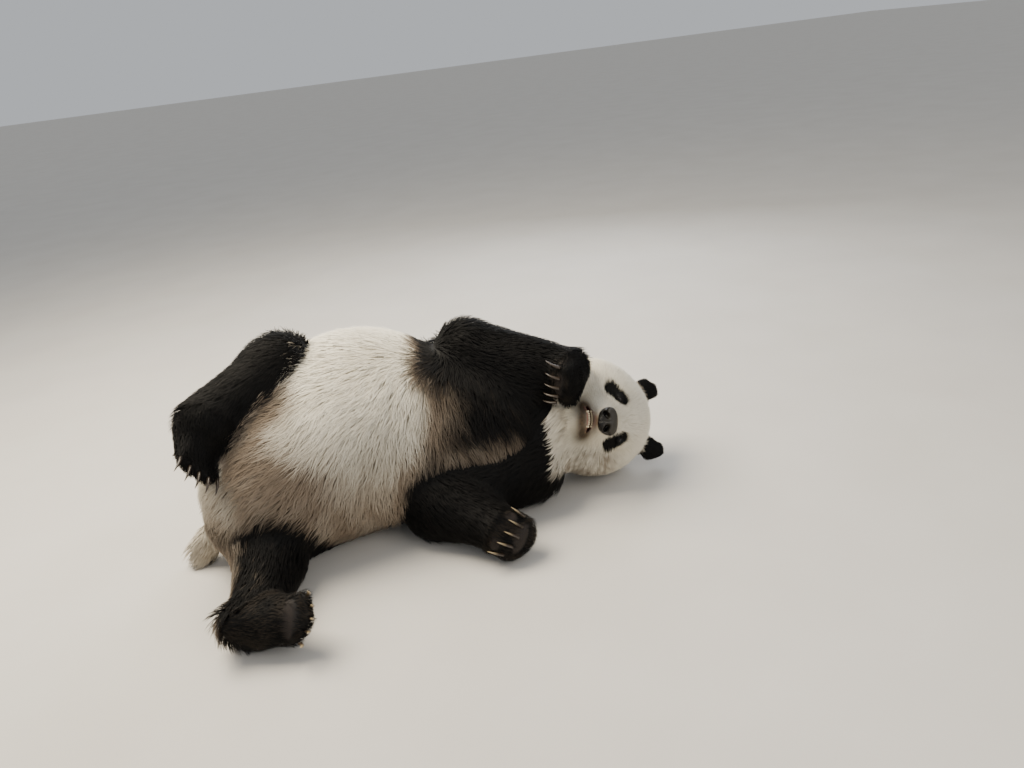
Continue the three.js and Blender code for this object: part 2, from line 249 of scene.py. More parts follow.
# %% [markdown]
# ## One skin from many solids
# The animal's solids are separate parts with thin gaps between them, and a living body has one skin.
# The next cells wrap all of them in one even net, melt its facets into flesh, and sink it below the
# solids by the depth of the coat, because the solids end at the tips of the fur. These first helpers
# hold a mesh as two arrays, its places and its faces, which is much faster than one corner at a time.

# %% Meshes as arrays
BARE = ("eye_", "nose", "claw")  # the parts that are not flesh
FLESH = sorted(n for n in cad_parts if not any(word in n for word in BARE))
print(len(FLESH), "solids of flesh")


def welded(node, grow=0.0):
    """A solid's corners and triangles with shared corners, grown along its corners' normals."""
    mesh = bmesh.new()
    mesh.from_mesh(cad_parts[node].data)
    bmesh.ops.remove_doubles(mesh, verts=mesh.verts, dist=1e-5)
    bmesh.ops.triangulate(mesh, faces=mesh.faces)
    mesh.normal_update()
    points = np.array([v.co + grow * v.normal for v in mesh.verts])
    faces = np.array([[v.index for v in face.verts] for face in mesh.faces])
    mesh.free()
    return points, faces


def joined(meshes):
    """Several meshes of corners and faces as one."""
    counts = np.cumsum([0] + [len(points) for points, _ in meshes])
    faces = [f + start for (_, f), start in zip(meshes, counts)]
    return np.concatenate([points for points, _ in meshes]), np.concatenate(faces)


def make_object(name, points, faces):
    """An object from arrays of places and faces, shaded smooth."""
    mesh = bpy.data.meshes.new(name)
    mesh.from_pydata(np.asarray(points).tolist(), [], np.asarray(faces).tolist())
    mesh.polygons.foreach_set("use_smooth", np.ones(len(mesh.polygons), bool))
    made = bpy.data.objects.new(name, mesh)
    bpy.context.scene.collection.objects.link(made)
    return made


def ball(at, half, axes, fineness=3):
    """An ellipsoid's corners and triangles."""
    mesh = bmesh.new()
    bmesh.ops.create_icosphere(mesh, subdivisions=fineness, radius=1)
    points = np.array([v.co for v in mesh.verts]) * half
    faces = np.array([[v.index for v in face.verts] for face in mesh.faces])
    mesh.free()
    return at + points @ axes, faces


def centre(node):
    """The middle of a solid's box."""
    low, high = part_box(node)
    return np.array((low + high) / 2)


# %% [markdown]
# ## The head's own axes
# The head lies on its cheek, so up and down mean little on it. Places on the face are given along its
# own three directions instead: to the animal's right, noseward and crownward, from the head's middle.
# The eyes' solids say where that middle is.

# %% The head's own axes
NOSEWARD = unit((-0.146, -0.897, 0.419))
CROWNWARD = unit(np.array((0.955, -0.237, -0.177)) - np.dot((0.955, -0.237, -0.177), NOSEWARD) * NOSEWARD)
RIGHTWARD = np.cross(NOSEWARD, CROWNWARD)
HEAD_AXES = np.stack((RIGHTWARD, NOSEWARD, CROWNWARD))
EYES_FROM_HEAD = np.array((0, 0.122, 0.022))  # from the head's middle to the point between the eyes
HEAD = (centre("eye_left") + centre("eye_right")) / 2 - EYES_FROM_HEAD @ HEAD_AXES


def in_head(points):
    """Places in the head's axes, from the head's middle."""
    return (np.asarray(points) - HEAD) @ HEAD_AXES.T


def from_head(place):
    """Places in the frame, from places in the head's axes."""
    return HEAD + np.asarray(place) @ HEAD_AXES


print("head's middle", HEAD.round(4), "eyes", in_head([centre("eye_left"), centre("eye_right")]).round(4))

# %% [markdown]
# ## Where the limbs bend
# The solids were laid out round three joints in each limb. The same plan tells this script which way
# each bone runs, which is also the way its hair lies, and where a palm or a sole faces. It could be
# measured off the solids, but a short table is exact and easy to follow.

# %% Joints of the limbs
MM = 0.001
HEAD_IN_PLAN = np.array((0.561, -0.048, 0.167))  # the head's middle in the plan of the joints
ORIGIN = HEAD - HEAD_IN_PLAN


def joint(x, y, z):
    """A joint of the plan, in millimetres, in the frame."""
    return ORIGIN + np.array((x, y, z)) * MM


LIMBS = {  # for each limb: its parts, its joints, where its toes point, where its sole faces, its side
    "right_arm": (("upper_arm_right", "forearm_right", "hand_right"),
                  (joint(345, 18, 312), joint(238, 90, 414), joint(458, -84, 364)),
                  (-0.25, -0.93, -0.22), (-0.9, 0.1, 0.1), -1),
    "left_arm": (("upper_arm_left", "forearm_left", "hand_left"),
                 (joint(326, -80, 124), joint(48, -98, 106), joint(141, -266, 84)),
                 (0.68, -0.6, -0.38), (-0.235, -0.797, 0.555), 1),
    "right_leg": (("thigh_right", "shank_right", "foot_right"),
                  (joint(-325, 125, 300), joint(-242, 150, 462), joint(-442, 36, 412)),
                  (-0.12, -0.95, -0.3), (-0.75, 0.3, -0.5), -1),
    "left_leg": (("thigh_left", "shank_left", "foot_left"),
                 (joint(-384, 30, 150), joint(-374, -78, 92), joint(-440, -299, 56)),
                 (0.9, -0.43, -0.03), (-0.31, -0.69, 0.65), 1),
}
print("joints of", len(LIMBS), "limbs")

# %% [markdown]
# ## One net round all the parts
# A boolean union would keep the crease between each two parts. Voxel Remesh fills the parts with small
# cubes and wraps those that touch, so a gap narrower than a cube closes by itself. The parts grow by a
# millimetre first, so that neighbours surely touch, and a filler closes the slit between the jaws.

# %% Wrap the parts in one net
VOXEL = 0.005
JOINT_OVERLAP = 0.001
JAW_GAP = (0, 0.112, -0.076)  # the middle of the slit between the jaws, in the head's axes
solids = {n: welded(n) for n in FLESH}
mouth_filler = ball(from_head(JAW_GAP), (0.044, 0.052, 0.016), HEAD_AXES)
wrap = make_object("wrap", *joined([welded(n, JOINT_OVERLAP) for n in FLESH] + [mouth_filler]))
remesh = wrap.modifiers.new("net", "REMESH")
remesh.mode, remesh.voxel_size = "VOXEL", VOXEL
net = bpy.data.meshes.new_from_object(wrap.evaluated_get(bpy.context.evaluated_depsgraph_get()))
bpy.data.objects.remove(wrap)

points = np.empty(len(net.vertices) * 3)
net.vertices.foreach_get("co", points)
points = points.reshape(-1, 3)
quads = np.array([p.vertices[:] for p in net.polygons])


def largest_piece(points, quads):
    """The piece of a mesh with the most corners: what the net closed off inside is dropped."""
    label = np.arange(len(points))
    while True:
        lowest = label[quads].min(axis=1)
        new = label.copy()
        np.minimum.at(new, quads.ravel(), np.repeat(lowest, quads.shape[1]))
        new = new[new]
        if (new == label).all():
            break
        label = new
    keep = label == np.bincount(label).argmax()
    order = np.cumsum(keep) - 1
    return points[keep], order[quads[keep[quads].all(axis=1)]]


points, quads = largest_piece(points, quads)
print("net of", len(points), "corners")


# %% [markdown]
# ## A net that can be smoothed
# Much that follows is a value for each corner: a depth, a share of black, a direction. Moving each
# value towards the mean of its neighbours, a few times over, turns a sharp border into a soft one.
# Blender has this as modifiers and brushes, and a small class of arrays does it for any value.

# %% A net and its neighbours
class Net:
    """A net of quads or triangles with its edges, and what can be worked out at its corners."""

    def __init__(self, points, faces):
        self.points, self.faces = points, faces
        pairs = np.concatenate([faces[:, [i, (i + 1) % faces.shape[1]]] for i in range(faces.shape[1])])
        pairs = np.unique(np.sort(pairs, axis=1), axis=0)
        self.one = np.concatenate((pairs[:, 0], pairs[:, 1]))
        self.other = np.concatenate((pairs[:, 1], pairs[:, 0]))
        self.degree = np.bincount(self.one, minlength=len(points))

    def neighbour_mean(self, values):
        """For each corner, the mean of a value at the corners it shares an edge with."""
        if values.ndim == 1:
            return np.bincount(self.one, values[self.other], len(self.points)) / self.degree
        return np.stack([self.neighbour_mean(column) for column in values.T], axis=1)

    def smoothed(self, values, passes, share=0.5):
        """Values moved towards their neighbours' mean, several times."""
        for _ in range(passes):
            values = values + share * (self.neighbour_mean(values) - values)
        return values

    def normals(self):
        """The outward direction at each corner: its faces' own, added up by area."""
        f = self.faces
        across = self.points[f[:, -2]] - self.points[f[:, 0]]
        along = self.points[f[:, -1]] - self.points[f[:, 1]]
        if f.shape[1] == 3:
            across = self.points[f[:, 1]] - self.points[f[:, 0]]
            along = self.points[f[:, 2]] - self.points[f[:, 0]]
        face_normal = np.cross(across, along)
        total = np.zeros_like(self.points)
        for i in range(f.shape[1]):
            for k in range(3):
                total[:, k] += np.bincount(f[:, i], face_normal[:, k], len(self.points))
        return unit(total)


skin = Net(points, quads)
print("each corner has", skin.degree.mean().round(2), "neighbours")

# %% [markdown]
# ## Which part is where
# Fur, colour and depth change from part to part, so each corner is labelled with the solid nearest
# to it. A tree of boxes finds that triangle among thousands without trying them all.

# %% Which part each corner belongs to
all_points, all_faces = joined([solids[n] for n in FLESH])
face_part = np.repeat(np.arange(len(FLESH)), [len(solids[n][1]) for n in FLESH])
tree_of_all = BVHTree.FromPolygons(all_points.tolist(), all_faces.tolist())


def parts_of(points):
    """The nearest solid of each point, as its place in the list of solids."""
    return face_part[np.array([tree_of_all.find_nearest(p)[2] for p in points.tolist()])]


part = parts_of(skin.points)


def is_part(*words):
    """1 at the corners of the parts whose names start with one of these words."""
    named = np.array([any(n.startswith(w) for w in words) for n in FLESH])
    return named[part].astype(float)


def per_part(table, default):
    """A value for each corner by its part, from a table of the starts of names."""
    values = [next((v for k, v in table.items() if n.startswith(k)), default) for n in FLESH]
    return np.array(values, float)[part]


print("the head and jaw hold", int(is_part("head", "jaw").sum()), "corners")

# %% [markdown]
# ## Melt the facets
# Blender's Smooth modifier could do this with painted weights. Here the weight is a number for each
# part: strong on the faceted trunk, slight on the head and the paws, whose form has to stay.

# %% Smooth the flesh
SMOOTHING = {"trunk": 1.0, "neck": 0.8, "upper_arm": 0.45, "forearm": 0.35, "thigh": 0.6, "shank": 0.35,
             "head": 0.10, "jaw": 0.05, "ear": 0.10, "hand": 0.05, "foot": 0.06, "tail": 0.4}
PASSES = 130
softness = skin.smoothed(per_part(SMOOTHING, 0.3), 24)
for _ in range(PASSES):
    moved = skin.neighbour_mean(skin.points) - skin.points
    skin.points = skin.points + (0.5 * softness)[:, None] * moved
print("smoothed", PASSES, "times, the trunk ten times as much as the head")

# %% [markdown]
# ## A finer face
# Lids and lips are a few millimetres thick, less than a cell of the net. Cutting only the cells round
# the eyes and the mouth, twice, gives them enough corners without making the whole net heavy.

# %% Cut the face finer
EYES = {n: in_head(centre(n)) for n in ("eye_left", "eye_right")}
EYE_SINK = 0.003  # how far the eyeballs sit behind their solids
EYE_REACH, MOUTH_REACH = 0.026, 0.048
MOUTH_AT = (0, 0.15, -0.07)


def near_features(points, reach):
    """Whether each point is within reach of an eye or of the mouth."""
    place = in_head(points)
    near = np.zeros(len(points), bool)
    for eye in EYES.values():
        near |= np.linalg.norm(place - eye, axis=1) < EYE_REACH + reach
    mouth = np.linalg.norm((place - MOUTH_AT) / (1.35, 1, 1), axis=1)
    return near | (mouth < MOUTH_REACH + reach)


mesh = bmesh.new()
wrap = make_object("wrap", skin.points, skin.faces)
mesh.from_mesh(wrap.data)
bpy.data.objects.remove(wrap)
for reach in (0.008, 0.0):
    fine = near_features(np.array([v.co for v in mesh.verts]), reach)
    edges = [e for e in mesh.edges if fine[e.verts[0].index] and fine[e.verts[1].index]]
    bmesh.ops.subdivide_edges(mesh, edges=edges, cuts=1, use_grid_fill=True)
    mesh.verts.index_update()
bmesh.ops.triangulate(mesh, faces=mesh.faces)
skin = Net(np.array([v.co for v in mesh.verts]), np.array([[v.index for v in f.verts] for f in mesh.faces]))
mesh.free()
part = parts_of(skin.points)
print("skin of", len(skin.points), "corners and", len(skin.faces), "triangles")

# %% [markdown]
# ## Room for the coat
# The solids reach to the tips of the hair, so the skin lies under them by the coat's depth: nearly two
# centimetres on the trunk, a few millimetres on the face. Where the body presses the coat flat against
# the floor, the skin lies close above it.

# %% Sink the skin by the depth of the coat
COAT_DEPTH = {"trunk": 0.017, "neck": 0.018, "upper_arm": 0.017, "forearm": 0.015, "thigh": 0.018,
              "shank": 0.016, "head": 0.013, "jaw": 0.007, "ear": 0.0042, "hand": 0.009, "foot": 0.009,
              "tail": 0.02}
outward = skin.normals()
head_place = in_head(skin.points)
depth = skin.smoothed(per_part(COAT_DEPTH, 0.02), 40)
on_head = np.clip(skin.smoothed(is_part("head", "jaw", "ear"), 3), 0, 1)


def from_muzzle(place):
    """How far a place in the head's axes is outside the muzzle, in metres."""
    a, n, c = np.asarray(place).T
    reach = np.sqrt((a / 0.062) ** 2 + ((c + 0.05) / 0.058) ** 2)
    return (reach - 1) * 0.06 + np.clip(0.075 - n, 0, 1)


head_weight = skin.smoothed(is_part("head", "jaw"), 4)
muzzle = 1 - smoothstep(-0.012, 0.03, from_muzzle(head_place))
near_eye = np.max([1 - smoothstep(0.014, 0.045, np.linalg.norm(head_place - e, axis=1))
                   for e in EYES.values()], axis=0)
MUZZLE_DEPTH, LID_DEPTH, PRESSED_DEPTH = 0.0035, 0.005, 0.005
depth = depth + on_head * muzzle * (MUZZLE_DEPTH - depth)
depth = depth + on_head * near_eye * (LID_DEPTH - depth)
pressed = smoothstep(0.035, 0.008, skin.points[:, 2]) * smoothstep(-0.5, -0.9, outward[:, 2])
depth = depth + pressed * (PRESSED_DEPTH - depth)
skin.points = skin.points - depth[:, None] * skin.smoothed(outward, 6)
skin.points = skin.smoothed(skin.points, 4)
print("skin sunk by", depth.min().round(4), "to", depth.max().round(4))

# %% [markdown]
# ## Lids and lips
# A few moves of the skin give the head its life. Round each eye the skin rises over the eyeball as
# two lids with a narrow slit between them, and across the muzzle it falls in behind the lips. They
# could be sculpted with brushes. As smooth functions of the place on the head they can be read off and
# changed in millimetres. This cell says how far each place is outside an eye's slit or the mouth.

# %% Slits of the eyes and mouth
LID_SLIT = (0.0078, 0.0013)  # half its length and half its height
SLIT_LEAN = math.radians(-28)
MOUTH_HALF = 0.035  # half the mouth's width
MOUTH_GAP = 0.0058  # half its opening
MOUTH_SAG = 0.007  # how far its corners hang
LIP_LINE = -0.0670  # its place, crownwards of the head's middle
OUTSIDE = 9  # any value well over 1


def slit_measure(place, eye, side):
    """Below 1 inside the opening between an eye's lids, which drops towards its outer corner."""
    a, c = (place - eye)[:, 0] * side, (place - eye)[:, 2]
    along = a * math.cos(SLIT_LEAN) + c * math.sin(SLIT_LEAN)
    up = c * math.cos(SLIT_LEAN) - a * math.sin(SLIT_LEAN)
    return np.sqrt((along / LID_SLIT[0]) ** 2 + (up / LID_SLIT[1]) ** 2)


def mouth_measure(place):
    """Below 1 inside the opening between the lips."""
    a, n, c = place.T
    narrowing = np.sqrt(np.clip(1 - (a / MOUTH_HALF) ** 2, 1e-4, 1))
    off = np.abs(c - LIP_LINE + MOUTH_SAG * (a / MOUTH_HALF) ** 2)
    on_muzzle = (n > 0.07) & (np.abs(a) <= MOUTH_HALF)
    return np.where(on_muzzle, off / (MOUTH_GAP * narrowing), OUTSIDE)


print("the mouth is", round(2000 * MOUTH_HALF), "mm wide")

# %% Shape the lids and lips
LID_RADIUS = 0.0122
LID_REACH = 0.022  # how far from the eye the lids lift the skin
MOUTH_DEPTH = 0.022
NOSE_AT, NOSE_HALF = np.array((-0.005, 0.173, -0.026)), np.array((0.037, 0.021, 0.027))
BEHIND_NOSE = 0.010  # how far the skin falls back behind the nose's middle

place = in_head(skin.points)
on_front = (place[:, 1] > 0.05) & (head_weight > 0.5)
for name, eye in EYES.items():
    side = 1 if name == "eye_right" else -1
    eye = eye - (0, EYE_SINK, 0)
    off = np.hypot(*(place - eye)[:, [0, 2]].T)
    dome = eye[1] + np.sqrt(np.clip(LID_RADIUS ** 2 - off ** 2, 0, 1))
    dome -= 0.5 * np.clip(off - LID_RADIUS, 0, 1)
    slit = slit_measure(place, eye, side)
    crease = 0.0012 * np.exp(-((slit - 3.6) / 0.5) ** 2)
    lifted = np.where(on_front & (off < LID_REACH), np.maximum(place[:, 1], dome - crease), place[:, 1])
    place[:, 1] = lifted - 0.0045 * smoothstep(1.25, 0.85, slit) * on_front
mouth = mouth_measure(place)
place[:, 1] -= on_front * MOUTH_DEPTH * smoothstep(1.3, 0.8, mouth)
place[:, 1] += on_front * 0.0016 * np.exp(-((mouth - 2.0) / 0.6) ** 2)
nose_ring = np.linalg.norm((place - NOSE_AT)[:, [0, 2]] / NOSE_HALF[[0, 2]], axis=1)
under_nose = smoothstep(0.92, 0.72, nose_ring) * on_front
place[:, 1] -= under_nose * np.clip(place[:, 1] - (NOSE_AT[1] - BEHIND_NOSE), 0, 1)
skin.points = HEAD + place @ HEAD_AXES
skin.points = skin.smoothed(skin.points, 1, 0.3)
print(int((mouth < 1).sum()), "corners lie inside the mouth")

# %% [markdown]
# ## Palms and soles
# A bear walks on bare pads of thick skin with fur between them: one broad bar behind the toes, and on
# the hand two more near the wrist. Each is an oval on the palm, laid out in millimetres from the
# wrist, and the skin swells there by the pad's height. Hair grows everywhere but on these ovals.

# %% Palms and soles
PADS = {  # each pad: ahead of the wrist, towards the first digit, and its half sizes
    "hand": ((76, 0, 15, 40), (27, -36, 15, 14), (36, 37, 17, 12)),
    "foot": ((94, 0, 17, 43),),
}
PAD_HEIGHT = 0.005


def paw_axes(toes, sole, side):
    """The directions towards the toes, towards the first digit and towards the palm or sole."""
    forward = unit(toes)
    palmward = unit(np.array(sole) - np.dot(sole, forward) * forward)
    return np.stack((forward, np.cross(palmward, forward) * side, palmward))


outward = skin.normals()
pad = np.zeros(len(skin.points))
palm = np.zeros(len(skin.points))
for nodes, joints, toes, sole, side in LIMBS.values():
    axes = paw_axes(toes, sole, side)
    place = (skin.points - joints[2]) @ axes.T
    below = smoothstep(0.05, 0.45, outward @ axes[2]) * is_part(nodes[2])
    palm = np.maximum(palm, below)
    for ahead_by, inside, half_long, half_wide in PADS[nodes[2].split("_")[0]]:
        off = (place[:, :2] / MM - (ahead_by, inside)) / (half_long, half_wide)
        pad = np.maximum(pad, below * smoothstep(1.12, 0.88, np.linalg.norm(off, axis=1)))
pad = skin.smoothed(pad, 2)
skin.points = skin.points + (PAD_HEIGHT * pad)[:, None] * skin.smoothed(outward, 4)
print("pads cover", int((pad > 0.5).sum()), "corners")

# %% [markdown]
# ## The lie of the coat
# Hair grows away from the nose, along the back and belly to the tail, and down each limb to the
# toes, and long hair also gives way to gravity. Combing particles by hand would show this, but not
# give a mesh that can be kept. Here each corner of the skin gets a direction from its part, which is
# then smoothed over the skin so that the coat turns gently from one part to the next.

# %% Directions of the bones
bone_way = {"trunk": (-1, -0.05, 0), "neck": (-1, 0, -0.1), "tail": (-0.75, 0.17, -0.63)}
for nodes, joints, toes, _, _ in LIMBS.values():
    bone_way[nodes[0]] = joints[1] - joints[0]
    bone_way[nodes[1]] = joints[2] - joints[1]
    bone_way[nodes[2]] = np.array(toes)
print(len(bone_way), "parts have a direction of their own")

# %% Flow over the skin
NOSE_ROOT = np.array((-0.004, 0.17, -0.02))
BACKWARD = np.array((0, -0.45, 0))  # the head's hair also lies back from the face
WHORL = np.array((0.098, 0.088, 0.430))  # the chest's hair fans out from here, by the right armpit
EAR_TIPS = {"ear_left": (-0.24, -0.07, 1), "ear_right": (0.32, -0.22, 1)}  # in the head's axes
outward = skin.normals()
head_place = in_head(skin.points)
from_nose = unit(head_place - NOSE_ROOT) + BACKWARD
flow = np.stack([unit(bone_way.get(n, (0, 0, 1))) for n in FLESH])[part]
face_like = is_part("head", "jaw")[:, None] > 0
flow = np.where(face_like, unit(from_nose @ HEAD_AXES), flow)
flow = np.where(is_part("trunk")[:, None] > 0, unit(skin.points - WHORL), flow)
for ear, tip in EAR_TIPS.items():
    root = centre(ear) - 0.03 * unit(np.array(tip) @ HEAD_AXES)
    flow = np.where(is_part(ear)[:, None] > 0, unit(skin.points - root), flow)
steep = 1 - np.clip(outward[:, 2], 0, 1)
front = smoothstep(-0.30, -0.10, skin.points[:, 0])
droop = is_part("trunk", "neck", "tail") * (0.1 + (0.5 + 1.3 * front) * steep ** 1.5)
droop += is_part("upper_arm", "forearm", "thigh", "shank") * 0.35 * steep
flow = flow + droop[:, None] * np.array((0, 0, -1))


def tangent(vectors, normals):
    """Vectors laid along the surface."""
    return unit(vectors - (vectors * normals).sum(axis=-1, keepdims=True) * normals)


flow = tangent(skin.smoothed(tangent(flow, outward), 14), outward)
print("gravity counts up to", droop.max().round(1), "times as much as the way of the bones")

# %% [markdown]
# ## Markings
# A panda is black on its ears, its eye patches, its limbs and a yoke over the shoulders, and white
# elsewhere. An image could hold this, and would need a map of the whole body. Functions of the place
# need none, and the same ones colour the skin and each tuft. Real borders are ragged, so first comes a
# noise: a few waves in chance directions, which add up to a smooth random value.

# %% Ragged borders
WAVES = unit(rng.normal(size=(12, 3)))
WAVE_STARTS = rng.uniform(0, 2 * math.pi, 12)


def noise(points, size):
    """A smooth random value for each place, from about -1 to 1, that changes over this size."""
    phases = points @ WAVES.T * (2 * math.pi / size) + WAVE_STARTS
    return np.sin(phases + 1.7 * np.sin(phases[:, ::-1] * 0.6)).sum(axis=1) / 3.5


print("noise spreads by", noise(skin.points, 0.05).std().round(2))

# %% [markdown]
# ## The yoke and the thigh's fringe
# The trunk is white up to the yoke, where brown-black hair sets in gradually and leaves a paler band
# between the arms. Black also reaches from the left thigh onto the flank, as a fringe. The border
# isn't straight, so its place and its softness are given at a few heights and read off in between.

# %% Black on the trunk
YOKE_HEIGHTS = (0.05, 0.22, 0.29, 0.33, 0.38, 0.43, 0.46)
YOKE_START = (-0.175, -0.135, -0.095, -0.045, -0.020, -0.020, 0.045)  # along the body, at those heights
YOKE_FADE = (0.05, 0.06, 0.15, 0.16, 0.14, 0.06, 0.05)  # how far the white takes to turn black there
FRINGE_PLACES = (-0.52, -0.47, -0.395, -0.34, -0.294, -0.24)
FRINGE_HEIGHTS = (0.19, 0.225, 0.232, 0.18, 0.11, 0.03)  # the black over the left thigh, at those places
CHEST_PATCH = (np.array((0.0, -0.100, 0.268)), np.array((0.180, -0.108, 0.252)))  # the paler band's ends
GROIN_LINE = (np.array((-0.33, 0.055, 0.455)), np.array((-0.47, -0.005, 0.385)))  # the groin fold's ends


def to_line(points, start, end):
    """The distance of each point from the line between two points."""
    axis = end - start
    t = np.clip((points - start) @ axis / (axis @ axis), 0, 1)
    return np.linalg.norm(points - start - t[:, None] * axis, axis=1)


def past_yoke(points):
    """How far each place is into the yoke: 0 where it starts to darken and 1 where it is black."""
    x, _, z = points.T
    return (x - np.interp(z, YOKE_HEIGHTS, YOKE_START)) / np.interp(z, YOKE_HEIGHTS, YOKE_FADE)


def trunk_black(points):
    """The share of black hairs on the trunk, with painted shade as black hairs along the groin's fold."""
    x, y, z = points.T
    near_side = smoothstep(0.12, 0.0, y)
    yoke = 0.97 * smoothstep(0, 1, past_yoke(points)) ** 0.7
    yoke *= 1 - 0.62 * smoothstep(0.050, 0.010, to_line(points, *CHEST_PATCH))
    # painted shade: a line of black hairs along the groin's fold
    groin_fold_shade = 0.5 * smoothstep(0.065, 0.010, to_line(points, *GROIN_LINE))
    over_fringe = z - np.interp(x, FRINGE_PLACES, FRINGE_HEIGHTS)
    fringe = near_side * smoothstep(0.03, -0.03, over_fringe) * (x < -0.2)
    return np.maximum(np.maximum(yoke, fringe), groin_fold_shade)


on_trunk = skin.smoothed(is_part("trunk"), 6)
share = np.average(trunk_black(skin.points), weights=on_trunk)
print("black covers", round(100 * share), "per cent of the trunk")

# %% [markdown]
# ## Limbs and ruff
# The limbs are black. The right thigh's inner side and its knee mix in paler hairs, and so does the
# left leg where it faces the rump. Long white cheek hair, the ruff, falls over the black neck.

# %% Share of black
KNEE_AT, KNEE_HALF = -0.285, 0.018
limb_like = is_part("upper_arm", "forearm", "hand", "thigh", "shank", "foot", "ear")
limb_share = skin.smoothed(np.maximum(limb_like, is_part("neck")), 6)
black_share = np.clip(limb_share + on_trunk * trunk_black(skin.points), 0, 1)
inner_knee = np.exp(-((skin.points[:, 0] - KNEE_AT) / KNEE_HALF) ** 2) * (skin.points[:, 2] > 0.40)
inner_thigh = smoothstep(0.075, 0.02, to_line(skin.points, *GROIN_LINE))
on_right_leg = skin.smoothed(is_part("shank_right", "thigh_right"), 6)
black_share -= (0.30 * inner_knee + 0.40 * inner_thigh) * on_right_leg
on_left_leg = skin.smoothed(is_part("shank_left", "thigh_left"), 6)
to_rump = skin.smoothed(outward[:, 0], 10) + 0.10 * noise(skin.points, 0.03)
black_share -= 0.8 * smoothstep(-0.45, -1.05, to_rump) * on_left_leg
ruff = smoothstep(-0.172, -0.154, head_place[:, 2] + 0.006 * noise(skin.points, 0.05))
ruff *= skin.smoothed(is_part("neck", "trunk", "upper_arm_left", "head"), 4)
ruff *= smoothstep(0.10, 0.15, skin.points[:, 2])
black_share *= 1 - ruff
print("black on average", round(100 * black_share.mean()), "per cent")

# %% [markdown]
# ## Eye patches
# Each patch is an oval that widens from the eye outwards and down, which gives a panda its sad look.
# The distance to a line between two places, less a radius that grows along it, is such an oval.

# %% Eye patches
PATCHES = (((0.054, 0.036), (0.082, 0.002)), ((-0.047, 0.031), (-0.065, -0.005)))
PATCH_RADII = (0.0152, 0.0205)  # at the eye and at the outer end
FACE_FRONT = 0.03  # nothing on the head behind this has a patch


def eye_patch(place):
    """How far a place in the head's axes is outside the patches round the eyes."""
    flat = place[:, [0, 2]]
    nearest = np.full(len(place), 1.0)
    for start, end in np.array(PATCHES):
        axis = end - start
        t = np.clip((flat - start) @ axis / (axis @ axis), 0, 1)
        off = np.linalg.norm(flat - start - t[:, None] * axis, axis=1)
        nearest = np.minimum(nearest, off - PATCH_RADII[0] - t * (PATCH_RADII[1] - PATCH_RADII[0]))
    return nearest + np.where(place[:, 1] > FACE_FRONT, 0, 1)


print("each eye lies", (-1000 * eye_patch(np.array(list(EYES.values())))).round(), "mm inside its patch")


# %% [markdown]
# ## Stains and painted shade
# Bamboo juice and spit brown the lips, the chin and the mouth's corners, and lying on earth browns the
# cheek, the lower belly, the groin and the chest. Some marks are painted shade: the grey-brown in the
# groove under the nose and along the groin's fold, and part of the lower belly's tan, which darkens it
# towards the bottom. Each is a soft mark of a given place and size.

# %% Stains and painted shade of the face
def stains_and_shade(place):
    """The brown of the mouth's corners, chin and cheek, with painted shade under the nose, from 0 to 1."""
    a, _, c = place.T
    front = spot(a, c, (-0.002, -0.090), (0.036, 0.015))  # the chin
    front = front + 0.6 * spot(a, c, (0, -0.068), (0.045, 0.010))  # the lips
    front += 0.9 * spot(np.abs(a + 0.002), c, (0.038, -0.080), (0.016, 0.014))  # the mouth's corners
    front += 0.9 * spot(a, c, (-0.004, -0.055), (0.026, 0.010))  # painted shade in the groove under the nose
    cheek = smoothstep(-0.060, -0.115, a) * smoothstep(0.06, -0.02, c)
    cheek *= 0.55 + 0.35 * noise(place, 0.022)
    return np.clip(np.maximum(np.clip(front, 0, 1) * (place[:, 1] > 0.04), cheek) + 0.06, 0, 1)


def grime_and_shade(place):
    """Darkest brown at the mouth's corners and the chin, with painted shade under the nose, from 0 to 1."""
    a, _, c = place.T
    dark = spot(np.abs(a + 0.002), c, (0.040, -0.084), (0.014, 0.014))
    # the chin's stain, then painted shade in the groove under the nose
    dark += spot(a, c, (-0.004, -0.090), (0.034, 0.013)) + spot(a, c, (-0.004, -0.054), (0.024, 0.008))
    return np.clip(dark, 0, 1) * (place[:, 1] > 0.04)


print("the chin is", round(100 * stains_and_shade(np.array([(0, 0.12, -0.09)]))[0]), "per cent brown")


# %% Stains and painted shade of the body
def body_tan(points):
    """How tan the body's white coat is, from 0 to 1, with painted shade: most on the lower belly and chest.
    """
    x, y, z = points.T
    near_side = smoothstep(0.16, 0.0, y)
    tan = 0.06 + 0.88 * smoothstep(0.46, 0.15, z) * near_side  # the lower belly: a tan stain, and painted shade darker towards the bottom
    tan += 0.70 * spot(x, z, (-0.40, 0.30), (0.11, 0.085)) * near_side  # the groin
    # painted shade: browner along the groin's fold
    tan += smoothstep(0.09, 0.02, to_line(points, *GROIN_LINE))
    tan += 0.95 * smoothstep(-0.15, 0.35, past_yoke(points))  # the chest
    tan -= 0.25 * spot(x, z, (-0.50, 0.27), (0.05, 0.05))  # the rump is cleaner
    tan += 0.4 * smoothstep(-0.54, -0.62, x) * smoothstep(0.30, 0.18, z)
    return np.clip(tan, 0, 1)


share = np.average(body_tan(skin.points), weights=on_trunk)
print("the trunk's coat is", round(100 * share), "per cent tan")

# %% [markdown]
# ## Fur
# A panda's coat is coarse, woolly hair, a few centimetres long on the body and a few millimetres on
# the face. Blender's hair curves would look finer, but they are not a mesh: they can't be printed or
# sent to another program. So each tuft is a thin closed blade of three sides. One hair would be too
# fine to show, and a blade stands for a lock of them.

